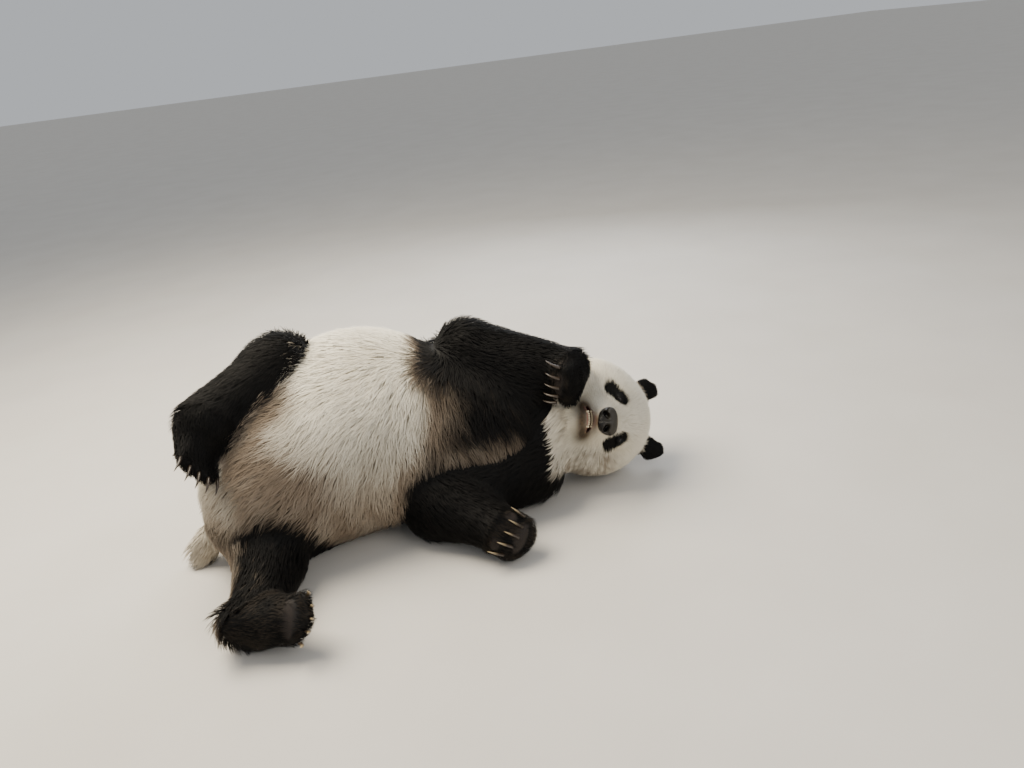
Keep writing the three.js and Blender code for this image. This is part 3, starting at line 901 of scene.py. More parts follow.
# %% Size of the tufts
FUR = {  # spacing, length and width of a tuft on each part, in metres
    "trunk": (0.0049, 0.072, 0.0022), "neck": (0.0052, 0.050, 0.0024),
    "upper_arm": (0.0054, 0.046, 0.0024), "forearm": (0.0048, 0.038, 0.0022),
    "thigh": (0.0052, 0.048, 0.0024), "shank": (0.0048, 0.040, 0.0022),
    "hand": (0.0034, 0.017, 0.0016), "foot": (0.0036, 0.018, 0.0017),
    "head": (0.0027, 0.025, 0.0013), "jaw": (0.0025, 0.016, 0.0011),
    "ear": (0.0018, 0.009, 0.0010), "tail": (0.0052, 0.048, 0.0026),
}
FACE_FUR = (0.0015, 0.008, 0.0009)
columns = [per_part({part_name: size[i] for part_name, size in FUR.items()}, 0) for i in range(3)]
fur_size = np.stack(columns, axis=1)
fur_size = skin.smoothed(fur_size, 10)
bare_face = np.clip(on_head * np.maximum(muzzle, near_eye), 0, 1)[:, None]
fur_size = fur_size + bare_face * (np.array(FACE_FUR) - fur_size)
lengths = 1000 * fur_size[:, 1]
print("tufts are", lengths.min().round(), "to", lengths.max().round(), "mm long")

# %% [markdown]
# ## How many tufts, and where
# Each triangle of the skin wants its area divided by a tuft's own square. Walking along the running
# total of these in steps of one gives each triangle its fair number, so the tufts are even without a
# check of every pair. Pads, lips, lids and the nose stay bare, and the pressed side needs few.

# %% Wanted tufts
ON_FLOOR, PRESSED_SHARE = 0.012, 0.35  # tufts rooted lower than this are fewer
triangles = skin.faces
corners = skin.points[triangles]
area_normal = np.cross(corners[:, 1] - corners[:, 0], corners[:, 2] - corners[:, 0])
triangle_area = np.linalg.norm(area_normal, axis=1) / 2
spacing = fur_size[triangles, 0].mean(axis=1)
wanted = triangle_area / spacing ** 2
wanted *= np.where(skin.points[triangles, 2].mean(axis=1) < ON_FLOOR, PRESSED_SHARE, 1)
print("tufts wanted", int(wanted.sum()))

# %% Roots
total = np.cumsum(wanted)
picks = np.arange(0.5, total[-1], 1.0)
chosen = np.searchsorted(total, picks)


def at_roots(values):
    """Values of the skin's corners at the tufts' roots."""
    picked = values[triangles[chosen]]
    return (picked * (weights if values.ndim == 1 else weights[:, :, None])).sum(axis=1)


bare = np.maximum(pad, smoothstep(1.75, 1.2, mouth) * head_weight)
for name, eye in EYES.items():
    slit = slit_measure(head_place, eye, 1 if "right" in name else -1)
    bare = np.maximum(bare, head_weight * smoothstep(2.4, 1.6, slit))
nose_off = np.linalg.norm((head_place - NOSE_AT) / NOSE_HALF, axis=1)
bare = np.maximum(bare, smoothstep(1.12, 1.0, nose_off))
chosen = chosen[rng.uniform(size=len(chosen)) > bare[triangles[chosen]].mean(axis=1)]
u, v = rng.uniform(size=(2, len(chosen)))
u, v = np.where(u + v > 1, 1 - u, u), np.where(u + v > 1, 1 - v, v)
weights = np.stack((1 - u - v, u, v), axis=1)

root = at_roots(skin.points)
normal = unit(at_roots(outward))
lie = tangent(at_roots(flow), normal)
spread, length, width = at_roots(fur_size).T
rise = at_roots(depth)
blackness = at_roots(black_share)
root_part = part[triangles[chosen, 0]]
count = len(root)
print(count, "roots")

# %% [markdown]
# ## Locks
# On a real coat the eye sees locks, not hairs. About a quarter of the tufts, chosen by chance, each
# become the middle of a clump. Every other tuft finds the nearest middle with a tree of places, leans
# towards it and shares some of its chance values, so that a lock bends and shades nearly as one.

# %% Clumps
CLUMP_SIZE = 1.9  # in spacings of the tufts
clump_size = spread * CLUMP_SIZE
order = rng.permutation(count)
seeds = order[rng.uniform(size=count) < (spread[order] / clump_size[order]) ** 2]
clumps = KDTree(len(seeds))
for i, seed in enumerate(seeds.tolist()):
    clumps.insert(root[seed], i)
clumps.balance()
own = seeds[np.array([clumps.find(p)[1] for p in root.tolist()])]
clump_random = rng.uniform(-1, 1, size=(count, 4))[own]
tuft_random = rng.uniform(-1, 1, size=(count, 5))
print(len(seeds), "clumps")

# %% [markdown]
# ## The line of a tuft
# A hair leaves the skin steeply, bends over and lies along the coat, with its tip at the surface. Its
# line is a sum of simple curves: a rise that slows down, a run that speeds up, a slight wave, and the
# pull of its clump. All tufts are worked out together, once for each share of their length.

# %% Lines of the tufts
side = np.cross(normal, lie)
turn = 0.08 * clump_random[:, 0] + 0.06 * tuft_random[:, 0] + 0.22 * noise(root, 0.16)
lie = unit(lie * np.cos(turn)[:, None] + side * np.sin(turn)[:, None])
side = np.cross(normal, lie)
length = length * (1 + 0.15 * clump_random[:, 1] + 0.2 * tuft_random[:, 1])
rise = rise * (0.90 + 0.06 * clump_random[:, 2] + 0.12 * tuft_random[:, 2])
to_clump = root[own] - root
gather = 0.3 * tangent(to_clump, normal) * np.linalg.norm(to_clump, axis=1)[:, None]
wave = np.minimum(length, 0.06) * (0.05 + 0.05 * (root_part == FLESH.index("trunk")))
wave_start = 2.5 * clump_random[:, 3]
ROOT_DEPTH = 0.0015  # how deep a tuft starts under the skin


def along_tuft(t):
    """The middle of every tuft at a share t of its length."""
    height = rise * (1 - (1 - t) ** 2.2) - ROOT_DEPTH * (1 - t)
    forward = length * (0.12 * t + 0.88 * t ** 1.35)
    sway = wave * t * np.sin(5.5 * t + wave_start)
    upward = height[:, None] * normal
    return root + upward + forward[:, None] * lie + sway[:, None] * side + gather * t ** 1.3


reached = ((along_tuft(1.0) - root) * normal).sum(axis=1)
print("half of the tips lie more than", (1000 * np.median(reached)).round(), "mm above the skin")

# %% [markdown]
# ## The colour of each tuft
# A real hair is black or white along its whole length, so each tuft is looked up once. On the face
# it takes the colour of the place that its outer half covers, which keeps the patches' outline crisp.
# Near a border a little noise and chance decide, so the two coats mingle there as hairs do.

# %% Colour of the tufts
mask_place = in_head(root + 0.6 * length[:, None] * lie)
on_face = np.isin(root_part, [FLESH.index("head"), FLESH.index("jaw")])
ragged = (0.16 * tuft_random[:, 3] + 0.12 * noise(root, 0.035)) * (1 - 0.5 * at_roots(on_trunk))
soft_edge = 0.06 + 0.40 * at_roots(on_trunk) + 0.34 * at_roots(on_left_leg)
body_black = smoothstep(0.5 - soft_edge, 0.5 + soft_edge, blackness + ragged)
patch = eye_patch(mask_place) + 0.0018 * tuft_random[:, 3] + 0.0015 * noise(root, 0.02)
# the dark of the chin and the mouth's corners, and painted shade under the nose, add black
face_black = np.maximum(smoothstep(0.0015, -0.0015, patch), 0.62 * grime_and_shade(mask_place))
tuft_black = np.where(on_face, face_black, body_black)
# the tan holds stains and painted shade: under the nose, low on the belly, in the groin's fold
tuft_tan = np.where(on_face, stains_and_shade(mask_place), body_tan(root) + 0.08 * noise(root, 0.07))
on_palm = at_roots(palm)
browned = smoothstep(-0.4, 0.4, noise(root, 0.05) + tuft_random[:, 3])
tuft_black = tuft_black * (1 - 0.09 * on_palm * browned)
tuft_tan = np.maximum(tuft_tan, np.maximum(on_palm, 0.65 * at_roots(limb_share)))
tuft_tan = np.where(on_face, tuft_tan, tuft_tan * (1 - 0.7 * at_roots(ruff)))
tuft_shade = np.clip(0.5 + 0.22 * clump_random[:, 3] + 0.18 * tuft_random[:, 4], 0, 1)
print(round(100 * tuft_black.mean()), "per cent of the tufts are black")

# %% [markdown]
# ## A place on the map for each tuft
# To bake the coat's colours, each tuft needs its own spot on a flat square. The skin is seen along
# the six ways of a box, each in its own sixth of the square, and a tuft takes the spot of its root.

# %% Map of the coat
def unwrap(points, normals):
    """A place on a square for each point: the shape seen along six ways, each in its own sixth."""
    way = np.abs(normals).argmax(axis=1)
    facing = np.take_along_axis(normals, way[:, None], 1)[:, 0] > 0
    low, high = points.min(axis=0), points.max(axis=0)
    share = (points - low) / (high - low).max() * 0.94 + 0.03
    others = np.array(((1, 2), (0, 2), (0, 1)))[way]
    flat = np.take_along_axis(share, others, 1)
    return (flat + np.stack((way, facing), axis=1)) / (3, 2)


mapped = unwrap(root, normal)
print("the map holds roots from", mapped.min(axis=0).round(2), "to", mapped.max(axis=0).round(2))

# %% [markdown]
# ## Blades
# A blade has a low triangle for its section, repeated at a few places along its line, and one tip.
# Long tufts get three sections and short ones two, and the muzzle's tiny ones a single one. The
# shading of a lone blade would glitter, so its normals are turned most of the way to the skin's own,
# and the coat then shades as one soft body.

# %% Faces of a blade
SECTION = np.array(((0.5, -0.14), (-0.5, -0.14), (0.0, 0.28)))  # across and up, in widths
LONG = ((0.0, 0.62), (0.34, 1.0), (0.72, 0.66))  # share of the length, and width there
SHORT = ((0.0, 0.8), (0.5, 0.85))
TINY = ((0.0, 1.0),)
ROUNDNESS = 0.28  # how far a blade's shading turns with its own sides, and not only with the skin


def blade_faces(rings):
    """The triangles of a closed blade with this many sections and a tip."""
    tip = 3 * rings
    faces = [(0, 1, 2)]
    for i, j in ((0, 1), (1, 2), (2, 0)):
        for r in range(0, tip - 3, 3):
            faces += [(r + i, r + 3 + i, r + 3 + j), (r + i, r + 3 + j, r + j)]
        faces.append((tip - 3 + i, tip, tip - 3 + j))
    return np.array(faces)


def mesh_of(name, places, faces):
    """A smooth mesh from arrays, without the slow lists that from_pydata needs."""
    mesh = bpy.data.meshes.new(name)
    mesh.vertices.add(len(places))
    mesh.vertices.foreach_set("co", places.ravel())
    mesh.loops.add(faces.size)
    mesh.loops.foreach_set("vertex_index", faces.ravel().astype(np.int32))
    mesh.polygons.add(len(faces))
    mesh.polygons.foreach_set("loop_start", np.arange(0, faces.size, 3, dtype=np.int32))
    mesh.polygons.foreach_set("loop_total", np.full(len(faces), 3, np.int32))
    mesh.update(calc_edges=True)
    mesh.polygons.foreach_set("use_smooth", np.ones(len(faces), bool))
    return mesh


print("a blade has", [len(blade_faces(len(rings))) for rings in (LONG, SHORT, TINY)], "triangles")

# %% All blades of a piece
ON_FLOOR_TIP = 0.0006  # no tuft reaches lower than this
BAKE_PATCH = 0.003  # a tuft's size on the map


def coat_mesh(name, use, rings):
    """One closed blade for each tuft, joined in one mesh."""
    stations = [along_tuft(t)[use] for t, _ in rings] + [along_tuft(1.0)[use]]
    n, w = normal[use], width[use]
    places, blade_normals = [], []
    for i, (t, wide) in enumerate(rings):
        axis = unit(stations[i + 1] - stations[i])
        flat = unit(np.cross(n, axis))
        high = np.cross(axis, flat)
        for x, y in SECTION:
            offset = (w * wide * x)[:, None] * flat + (w * wide * y)[:, None] * high
            places.append(stations[i] + offset)
            blade_normals.append(unit(n + ROUNDNESS * (2 * x * flat + (2 * y) * high)))
    places.append(stations[-1])
    places = np.stack(places, axis=1)
    places[:, :, 2] = np.maximum(places[:, :, 2], ON_FLOOR_TIP)
    number, size = places.shape[:2]
    starts = size * np.arange(number)[:, None, None]
    faces = (blade_faces(len(rings))[None] + starts).reshape(-1, 3)
    mesh = mesh_of(name, places.reshape(-1, 3), faces)
    blade_normals.append(unit(n + 0.3 * axis))
    mesh.normals_split_custom_set_from_vertices(np.stack(blade_normals, axis=1).reshape(-1, 3))

    share = np.array([t for t, _ in rings for _ in SECTION] + [1.0])
    home = unwrap(root[use], n)
    cross = np.array([x for _ in rings for x, _ in SECTION] + [0.0])
    local = np.stack((cross, share - 0.5), axis=1) * BAKE_PATCH
    uv = (home[:, None, :] + local[None]).reshape(-1, 2)
    mesh.uv_layers.new(name="OFBake").data.foreach_set("uv", uv[faces.ravel()].ravel())
    made = bpy.data.objects.new(name, mesh)
    bpy.context.scene.collection.objects.link(made)
    store(made, along=np.tile(share, number), black=np.repeat(tuft_black[use], size),
          tan=np.repeat(tuft_tan[use], size), shade=np.repeat(tuft_shade[use], size))
    return made


print("a tuft fills", BAKE_PATCH, "of the map's width")

# %% [markdown]
# ## Pieces of the coat
# One mesh with every tuft would be slow to handle, so the coat is cut into pieces by the parts of the
# body, the trunk in four equal shares and the head in three: muzzle, crown and cheeks.

# %% Pieces of the coat
REGIONS = {
    "coat_trunk": ("trunk",), "coat_neck": ("neck",),
    "coat_arm_right": ("upper_arm_right", "forearm_right"),
    "coat_arm_left": ("upper_arm_left", "forearm_left"),
    "coat_leg_right": ("thigh_right", "shank_right"), "coat_leg_left": ("thigh_left", "shank_left"),
    "coat_hands": ("hand_left", "hand_right"), "coat_feet": ("foot_left", "foot_right"),
    "coat_head": ("head", "jaw"), "coat_ears": ("ear_left", "ear_right"), "coat_tail": ("tail",),
}
TRUNK_PIECES = 4
CLOSE_COATS = ("hands", "feet", "crown", "cheeks", "ears")  # pieces whose tufts are short
SHORTEST = 0.0020  # tufts closer together than this make the muzzle's coat

owners = {}  # which tufts each piece holds
for name, members in REGIONS.items():
    own_part = np.isin(root_part, [FLESH.index(m) for m in members])
    if name == "coat_trunk":
        cuts = np.quantile(root[own_part, 0], np.linspace(0, 1, TRUNK_PIECES + 1))
        piece = np.clip(np.searchsorted(cuts, root[:, 0]) - 1, 0, TRUNK_PIECES - 1)
        for i in range(TRUNK_PIECES):
            owners[f"coat_trunk_{i + 1}"] = own_part & (piece == i)
    elif name == "coat_head":
        short, upper = spread < SHORTEST, mask_place[:, 2] > 0.0
        owners["coat_muzzle"] = own_part & short
        owners["coat_crown"] = own_part & ~short & upper
        owners["coat_cheeks"] = own_part & ~short & ~upper
    else:
        owners[name] = own_part

coats = {}
for name, use in owners.items():
    rings = TINY if name == "coat_muzzle" else SHORT if name.split("_")[1] in CLOSE_COATS else LONG
    coats[name] = coat_mesh(name, use, rings)
    print(name, len(coats[name].data.polygons), "triangles")
print("coats", sum(len(coat.data.polygons) for coat in coats.values()), "triangles")

# %% [markdown]
# ## The coat's material
# Hair is stained keratin: pale hair bounces light about inside and reads as warm white, and black
# hair keeps a soft sheen. Each tuft is painted darker at its root, as shade where less light gets in,
# and its tip is lighter. Soil and old stains turn the white to tan, and the tan also carries painted
# shade under the nose, low on the belly and in the groin's fold. A panda's black is never pure: sun
# browns it.

# %% Coat material
PATCH_SIZE = 0.11
coat_material, tree = new_material("panda_fur")
along, black, tan, shading = (named(tree, a) for a in ("along", "black", "tan", "shade"))
patches = pattern(tree, "TexNoise", PATCH_SIZE, {"Detail": 4.0}).outputs["Fac"]
# painted shade: roots darker than tips, and the tan share holds stains and painted shade
white_root = mix(tree, tan, "DBD1B9", "54463A")
white_tip = mix(tree, tan, "FFF9E8", "8E7F6E")
white = mix(tree, along, white_root, white_tip)
white = mix(tree, shading, mix(tree, 0.12, white, "8A7860"), white)
dark_tip = mix(tree, patches, "080707", "15100D")
dark = mix(tree, along, "040404", dark_tip)
dark = mix(tree, shading, "050505", dark)
shade(tree, Base_Color=mix(tree, black, white, dark), Roughness=0.72, Sheen_Weight=0.01,
      Sheen_Roughness=0.5, Specular_IOR_Level=0.17)
print("fur's shades change every", PATCH_SIZE, "m")

# %% Coat finish
for name, coat in coats.items():
    coat.data.materials.append(coat_material)
    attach(coat, "root")

# %% [markdown]
# ## The skin's finish
# Under the coat the skin only has to be as dark or as pale as its hair, so that no gap shows. The bare
# parts are the real skin: matt grey leather on the pads, dark moist lips, and wet flesh in the mouth.
# Fine bumps, about 2 mm apart, stand for the pores and creases.

# %% Skin object
body = make_object("skin", skin.points, skin.faces)
skin_face = smoothstep(0.002, -0.002, eye_patch(head_place))
store(body, black=np.where(head_weight > 0.5, skin_face, smoothstep(0.25, 0.5, black_share)),
      tan=stains_and_shade(head_place), pad=pad, lip=smoothstep(2.2, 1.5, mouth) * head_weight,
      mouth=smoothstep(1.35, 1.05, mouth) * head_weight)
print("skin", len(body.data.polygons), "triangles")

# %% Skin material
PORE = 0.0018
skin_material, tree = new_material("furred_skin")
black, tan, lip, inside, leathery = (named(tree, a) for a in ("black", "tan", "lip", "mouth", "pad"))
pores = pattern(tree, "TexNoise", PORE, {"Detail": 3.0}).outputs["Fac"]
# the tan holds the face's stains and the painted shade under the nose
pale = mix(tree, tan, "D8CCB6", "6B563F")
bump = add_node(tree, "Bump", {"Height": pores, "Strength": 0.5, "Distance": 0.001})
flesh = mix(tree, black, pale, "070606")
flesh = mix(tree, leathery, flesh, mix(tree, pores, "120F0D", "2A211C"))
flesh = mix(tree, lip, flesh, mix(tree, pores, "6A463E", "9E7568"))
flesh = mix(tree, inside, flesh, "3B1614")
shade(tree, Base_Color=flesh, Roughness=0.7, Specular_IOR_Level=0.3, Normal=bump.outputs["Normal"])
body.data.materials.append(skin_material)
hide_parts(*FLESH)
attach(body, "root")
print(body.name, "stands for", len(FLESH), "solids")

# %% [markdown]
# ## Nose
# A panda's nose is a pad of bare, pebbled leather, broad at the top and narrower towards the lip,
# with a comma-shaped opening on each side that runs out into a slit, and a groove down the middle.
# It starts as a fine ball and each of these is one smooth push of its surface.

# %% Shape of the nose
NOSTRIL, NOSTRIL_HALF = (0.0175, -0.006), (0.0085, 0.0062)  # across and crownwards
NOSE_SLIT = (np.array((0.018, 0, -0.008)), np.array((0.034, 0, 0.003)))  # from the opening outwards
shape, nose_faces = ball(np.zeros(3), (1, 1, 1), np.eye(3), fineness=6)
shape = np.sign(shape) * np.abs(shape) ** 0.86  # squarer than a ball
a, n, c = (shape * NOSE_HALF).T
a = a * (1 + 0.16 * c / NOSE_HALF[2])  # broader at the top
n = n + 0.004 * smoothstep(-0.5, 1, c / NOSE_HALF[2])
front = smoothstep(-0.002, 0.008, n)
beside = np.abs(a) - NOSTRIL[0]
opening = (beside / NOSTRIL_HALF[0]) ** 2 + ((c - NOSTRIL[1] + 0.35 * beside) / NOSTRIL_HALF[1]) ** 2
slit_off = to_line(np.stack((np.abs(a), np.zeros_like(a), c), axis=1), *NOSE_SLIT)
groove = np.exp(-(a / 0.0016) ** 2) * smoothstep(0.004, -0.006, c)
rim = np.exp(-((np.sqrt(opening) - 1.65) / 0.35) ** 2)
hole = 0.013 * np.exp(-opening ** 2 * 0.8) + 0.005 * np.exp(-(slit_off / 0.0022) ** 2)
n = n - front * (hole + 0.0025 * groove) + front * 0.0014 * rim
nose = make_object("nose_leather", from_head(NOSE_AT + np.stack((a, n, c), axis=1)), nose_faces)
# the openings' share marks where painted shade darkens the nostrils
store(nose, damp=np.clip(0.5 - c / 0.05, 0, 1), hollow=np.exp(-opening ** 1.5 * 0.7) * front)
print("nose", (2000 * np.abs(a).max()).round(), "mm wide, openings", (1000 * hole.max()).round(), "mm deep")

# %% [markdown]
# ## The nose's finish
# The leather is nearly black, cracked into pebbles of 2 mm by a Voronoi pattern, and worn in faint
# patches. It is damp by the lip and dry on top, so its gloss grows downwards, and dust greys its top.
# Inside the nostrils it is painted darker still, as painted shade.

# %% Nose leather
PEBBLE, WORN_PATCH = 0.0021, 0.012
nose_material, tree = new_material("pebbled_nose_leather")
damp, hollow = named(tree, "damp"), named(tree, "hollow")
pebbles = pattern(tree, "TexVoronoi", PEBBLE, feature="DISTANCE_TO_EDGE").outputs["Distance"]
wear = pattern(tree, "TexNoise", WORN_PATCH, {"Detail": 5.0}).outputs["Fac"]
leather = mix(tree, wear, "080707", "151210")
leather = mix(tree, damp, mix(tree, 0.35, leather, "463F2E"), leather)
bump = add_node(tree, "Bump", {"Height": pebbles, "Strength": 0.9, "Distance": 0.0008})
wetness = add_node(tree, "MapRange", {"Value": damp, "To Min": 0.55, "To Max": 0.24})
# painted shade: the nostrils' openings are painted nearly black
shade(tree, Base_Color=mix(tree, hollow, leather, "040303"), Roughness=wetness.outputs["Result"],
      Normal=bump.outputs["Normal"], Specular_IOR_Level=0.35, Coat_Weight=0.12, Coat_Roughness=0.2)
nose.data.materials.append(nose_material)
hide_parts("nose")
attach(nose, "root")
print("nose's pebbles", PEBBLE, "m across")

# %% [markdown]
# ## Eyes
# Bears have small dark eyes. Each is a ball with a clear bulge over a brown iris, and sits in the
# skin so deep that only the slit between its lids shows it. Its surface is glossy, since it is wet,
# and rings of colour by the angle from its front make the white, the iris and the pupil.

# %% Wet eye
EYE_STREAK = 0.0011
eye_material, tree = new_material("wet_eye")
iris_share = named(tree, "iris")
streaks = pattern(tree, "TexNoise", EYE_STREAK, {"Detail": 3.0}).outputs["Fac"]
iris = mix(tree, streaks, "100906", "24150C")
white = mix(tree, streaks, "15100D", "241B15")
ball_colour = add_node(tree, "ValToRGB", {"Fac": iris_share})
ramp = ball_colour.color_ramp
ramp.elements[0].position, ramp.elements[1].position = 0.50, 0.56
outer = mix(tree, ball_colour.outputs["Color"], white, iris)
pupil = add_node(tree, "ValToRGB", {"Fac": iris_share})
pupil.color_ramp.elements[0].position, pupil.color_ramp.elements[1].position = 0.82, 0.86
shade(tree, Base_Color=mix(tree, pupil.outputs["Color"], outer, "020202"), Roughness=0.20, IOR=1.38,
      Coat_Weight=0.4, Coat_Roughness=0.10)
print("streaks of the iris", EYE_STREAK, "m wide")

# %% Eyeballs
EYE_RADIUS = 0.0105
IRIS_SPREAD = 75  # degrees from the middle of the pupil over which the share falls to nothing
for name, eye in EYES.items():
    points, faces = ball(np.zeros(3), (1, 1, 1), np.eye(3), fineness=4)
    facing = np.clip(points[:, 1], -1, 1)
    bulge = 1 + 0.10 * smoothstep(0.80, 1.0, facing)
    places = from_head(eye - (0, EYE_SINK, 0) + EYE_RADIUS * points * bulge[:, None])
    eyeball = make_object(name.replace("eye", "eyeball"), places, faces)
    store(eyeball, iris=np.clip(1 - np.degrees(np.arccos(facing)) / IRIS_SPREAD, 0, 1))
    eyeball.data.materials.append(eye_material)
    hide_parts(name)
    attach(eyeball, "root")
    print(eyeball.name, 2000 * EYE_RADIUS, "mm across")

# %% [markdown]
# ## Mouth
# The lips stand a little apart, so the front teeth show as a pale row with dark lines between them:
# six small cutting teeth above and below, then a long corner tooth on each side. Each tooth is a
# rounded, tapered block, placed on a bent row. Teeth of one mould look false, so each one's width and
# height vary a little by chance.

# %% One tooth
TOOTH_ROW = 0.163  # how far noseward the front of the row stands
ROW_BEND = 12.0  # the row runs back by this times the square of the place across
ROW_DROP = 5.0  # and its ends hang by this times that square
TOOTH_STEP = 0.0054
TOOTH_TALL = {1: 0.0052, -1: 0.0066}  # the upper teeth show less than the lower ones
TOOTH_THICK = 0.0042
ROW_GAP = 0.0013  # from the line of the lips to each row's edge


def on_row(across_by, back, up):
    """A place of the row of teeth in the head's axes."""
    bent = across_by ** 2
    front, height = TOOTH_ROW - back - ROW_BEND * bent, LIP_LINE + up - ROW_DROP * bent
    return np.array((across_by + 0.001, front, height))


def tooth(across_by, way, wide, tall, thick):
    """One tooth: a rounded block that tapers from its gum to its edge, in the upper or lower row."""
    points, faces = ball(np.zeros(3), (1, 1, 1), np.eye(3))
    points = np.sign(points) * np.abs(points) ** 0.70
    taper = 1 - 0.08 * (1 + way * points[:, 2])
    half = np.stack((wide / 2 * taper, thick / 2 * taper, np.full(len(points), tall / 2)), axis=1)
    return from_head(on_row(across_by, 0.0, way * (ROW_GAP + tall / 2)) + points * half), faces


print("rows stand", 2000 * ROW_GAP, "mm apart")

# %% [markdown]
# ## Gums and tongue
# A bent bar of gum holds each row of teeth, and the tongue, a flat ellipsoid, lies behind them.
# Sculpting would give them folds, but in a gap of a few millimetres only their fronts can be seen.

# %% A bar along a line
def bar_faces(rings, sides):
    """The triangles of a closed bar of rings of corners, then its first and its last end."""
    last, first_end = (rings - 1) * sides, rings * sides
    faces = []
    for i in range(sides):
        j = (i + 1) % sides
        for r in range(0, last, sides):
            faces += [(r + i, r + j, r + sides + j), (r + i, r + sides + j, r + sides + i)]
        faces += [(last + i, last + j, first_end + 1), (first_end, j, i)]
    return np.array(faces)


def tube(line, radii, axes, sides=10):
    """A closed bar along a line, with a radius for each place and two directions of its section."""
    turn = np.linspace(0, 2 * math.pi, sides, endpoint=False)
    ring = np.cos(turn)[:, None, None] * axes[0] + np.sin(turn)[:, None, None] * axes[1]
    points = (line[:, None] + radii[:, None, None] * ring.transpose(1, 0, 2)).reshape(-1, 3)
    return np.concatenate((points, line[:1], line[-1:])), bar_faces(len(line), sides)


print("a bar of 3 rings of 10 corners has", len(bar_faces(3, 10)), "triangles")

# %% Teeth
CORNER_AT, CORNER_WIDE, CORNER_THICK = 0.0196, 0.0068, 0.0064
row = []
for way in (1, -1):
    for i in range(6):
        wide = TOOTH_STEP * (0.95 + 0.04 * rng.uniform(-1, 1))
        tall = TOOTH_TALL[way] + 0.0004 * rng.uniform(-1, 1)
        row.append(tooth((i - 2.5) * TOOTH_STEP, way, wide, tall, TOOTH_THICK))
    for sign in (1, -1):
        tall = TOOTH_TALL[way] + 0.0018
        row.append(tooth(sign * CORNER_AT, way, CORNER_WIDE, tall, CORNER_THICK))
teeth = make_object("teeth", *joined(row))
print(len(row), "teeth")

# %% Gums with the tongue
BAR_HALF, BAR_RADIUS = 0.034, 0.0042
places = np.linspace(-BAR_HALF, BAR_HALF, 25)
radii = BAR_RADIUS * np.sqrt(np.clip(1 - (places / 0.0345) ** 4, 0, 1))
section = (np.tile(NOSEWARD, (25, 1)), np.tile(CROWNWARD, (25, 1)))
mouth_parts = []
for way in (1, -1):
    bar = np.array([from_head(on_row(x, 0.0062, way * 0.0082)) for x in places])
    mouth_parts.append(tube(bar, radii, section))
tongue_at = from_head((0.001, 0.128, LIP_LINE - 0.003))
mouth_parts.append(ball(tongue_at, (0.024, 0.028, 0.0050), HEAD_AXES))
gum = make_object("gums_and_tongue", *joined(mouth_parts))
print("gums", len(gum.data.polygons), "triangles")

# %% [markdown]
# ## Enamel and wet gum
# Enamel is hard and glossy, cream rather than white, and stained browner in patches by bamboo. Gum is
# a dark red flesh with a clear wet film, which gives it small sharp highlights.

# %% Finish of the mouth
tooth_material, tree = new_material("tooth_enamel")
stain = pattern(tree, "TexNoise", 0.004, {"Detail": 4.0}).outputs["Fac"]
enamel = mix(tree, stain, "DDD0B4", "A8906A")
shade(tree, Base_Color=enamel, Roughness=0.22, Coat_Weight=0.4, Coat_Roughness=0.1)
gum_material, tree = new_material("wet_gum")
veins = pattern(tree, "TexNoise", 0.005, {"Detail": 4.0}).outputs["Fac"]
gum_flesh = mix(tree, veins, "4E2723", "86504A")
shade(tree, Base_Color=gum_flesh, Roughness=0.25, Coat_Weight=0.4, Coat_Roughness=0.12)
for piece, finish in ((teeth, tooth_material), (gum, gum_material)):
    piece.data.materials.append(finish)
    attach(piece, "root")
    print(piece.name, "is finished in", finish.name)

# %% [markdown]
# ## Claws
# Each claw is a flattened horn that grows out of the fur and curves towards the pad. Its line comes
# from its solid: the thin end is the tip, and the way that the middle stands out of the straight line
# between the ends gives the bend. The root is carried on into the fur.

# %% Claw horn
GRAIN = 0.0024
claw_material, tree = new_material("claw_horn")
along = named(tree, "along")
grain = pattern(tree, "TexNoise", GRAIN, {"Detail": 5.0, "Distortion": 0.6}).outputs["Fac"]
base = mix(tree, grain, "1E1712", "3A2E22")
point = mix(tree, grain, "C2B08C", "8F7C5C")
bump = add_node(tree, "Bump", {"Height": grain, "Strength": 0.25, "Distance": 0.0004})
fade = add_node(tree, "MapRange", {"Value": along, "From Min": 0.35, "From Max": 0.95})
horn = mix(tree, fade.outputs["Result"], base, point)
shade(tree, Base_Color=horn, Roughness=0.42, Normal=bump.outputs["Normal"], Coat_Weight=0.1,
      Coat_Roughness=0.25)
print("horn's grain", GRAIN, "m")


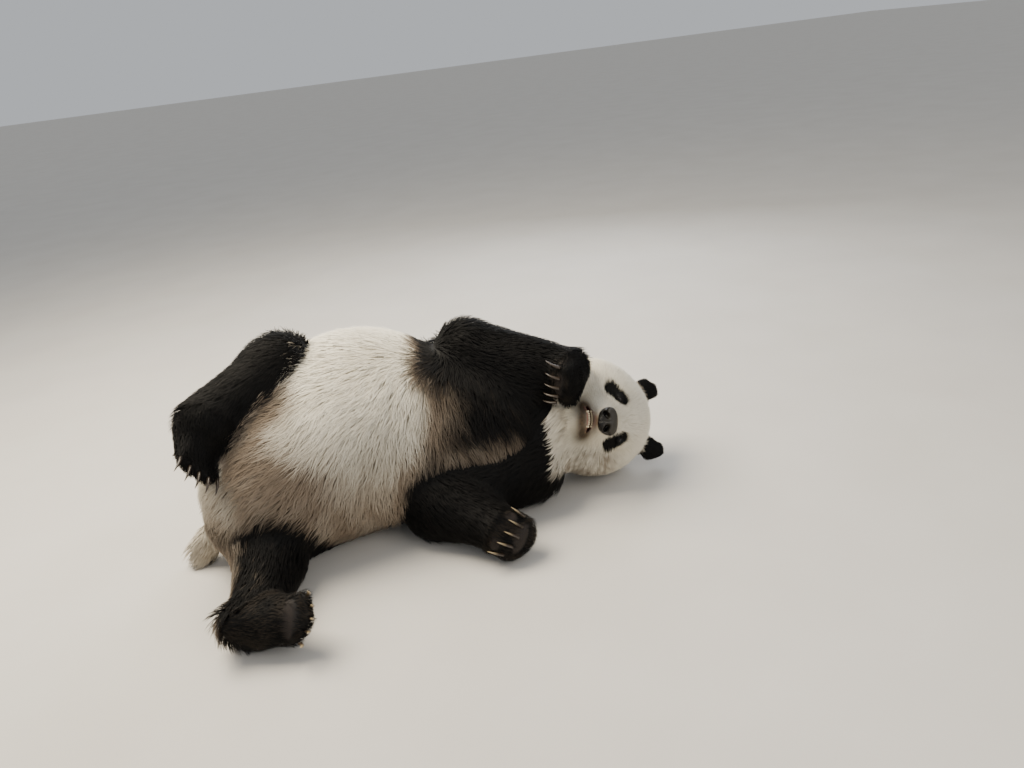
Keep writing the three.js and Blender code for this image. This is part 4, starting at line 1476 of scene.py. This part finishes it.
# %% The line of a claw
def claw_line(node):
    """The root, middle control point and tip of a claw, from its solid."""
    corners, _ = welded(node)
    middle = corners.mean(axis=0)
    axis = np.linalg.svd(corners - middle)[2][0]
    along_axis = (corners - middle) @ axis
    low, high = along_axis.min(), along_axis.max()
    third = (high - low) / 3
    ends = [corners[along_axis < low + third], corners[along_axis > high - third]]
    thin = int(np.std(ends[1], axis=0).sum() < np.std(ends[0], axis=0).sum())
    tip = corners[along_axis.argmax() if thin else along_axis.argmin()]
    root = ends[1 - thin].mean(axis=0)
    inner = corners[(along_axis > low + third) & (along_axis < high - third)]
    inner = inner.mean(axis=0) if len(inner) else middle
    chord = tip - root
    lean = inner - root - chord * ((inner - root) @ chord) / (chord @ chord)
    return root, (root + tip) / 2 + 2.0 * lean, tip


CLAW_RADIUS, ROOT_IN_FUR = 0.0044, 0.010
print("a claw is", 2000 * CLAW_RADIUS, "mm thick")


# %% The horn of a claw
def claw_mesh(node, stations=16, sides=12):
    """A curved horn along the line of a claw's solid, with how far along each corner is."""
    root, control, tip = claw_line(node)
    first = unit(control - root)
    start = root - ROOT_IN_FUR * first
    bend = unit(np.cross(tip - root, control - root) + 1e-9)
    t = np.linspace(0, 1, stations)[:, None]
    control = start + first * (np.linalg.norm(tip - start) * 0.55)
    line = (1 - t) ** 2 * start + 2 * t * (1 - t) * control + t ** 2 * tip
    heading = unit(2 * (1 - t) * (control - start) + 2 * t * (tip - control))
    upper = np.cross(heading, bend)
    radius = CLAW_RADIUS * (1 - t ** 1.7) ** 0.75
    turn = np.linspace(0, 2 * math.pi, sides, endpoint=False)
    ring = 1.2 * np.cos(turn)[None, :, None] * upper[:, None]
    ring = ring + 0.78 * np.sin(turn)[None, :, None] * bend
    points = (line[:, None] + radius[:, None] * ring)[:-1].reshape(-1, 3)
    points = np.concatenate((points, start[None], tip[None]))
    share = np.concatenate((np.repeat(t[:-1, 0], sides), (0, 1)))
    return points, bar_faces(stations - 1, sides), share


print("a claw has", len(claw_mesh("hand_claw_1_left")[1]), "triangles")

# %% Claws on the toes
PALENESS = {"hand_right": 0.40, "foot_right": 0.42}  # darker claws, with less of the pale tip colour
for nodes, *_ in LIMBS.values():
    limb, side_name = nodes[2].split("_")
    own_claws = [f"{limb}_claw_{i}_{side_name}" for i in range(1, 6)]
    made = [claw_mesh(claw) for claw in own_claws]
    horns = joined([(points, faces) for points, faces, _ in made])
    claws = make_object(f"{limb}_claws_{side_name}", *horns)
    share = np.concatenate([along for _, _, along in made])
    store(claws, along=share * PALENESS.get(nodes[2], 1.0))
    claws.data.materials.append(claw_material)
    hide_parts(*own_claws)
    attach(claws, "root")
    print(claws.name, len(claws.data.polygons), "triangles")
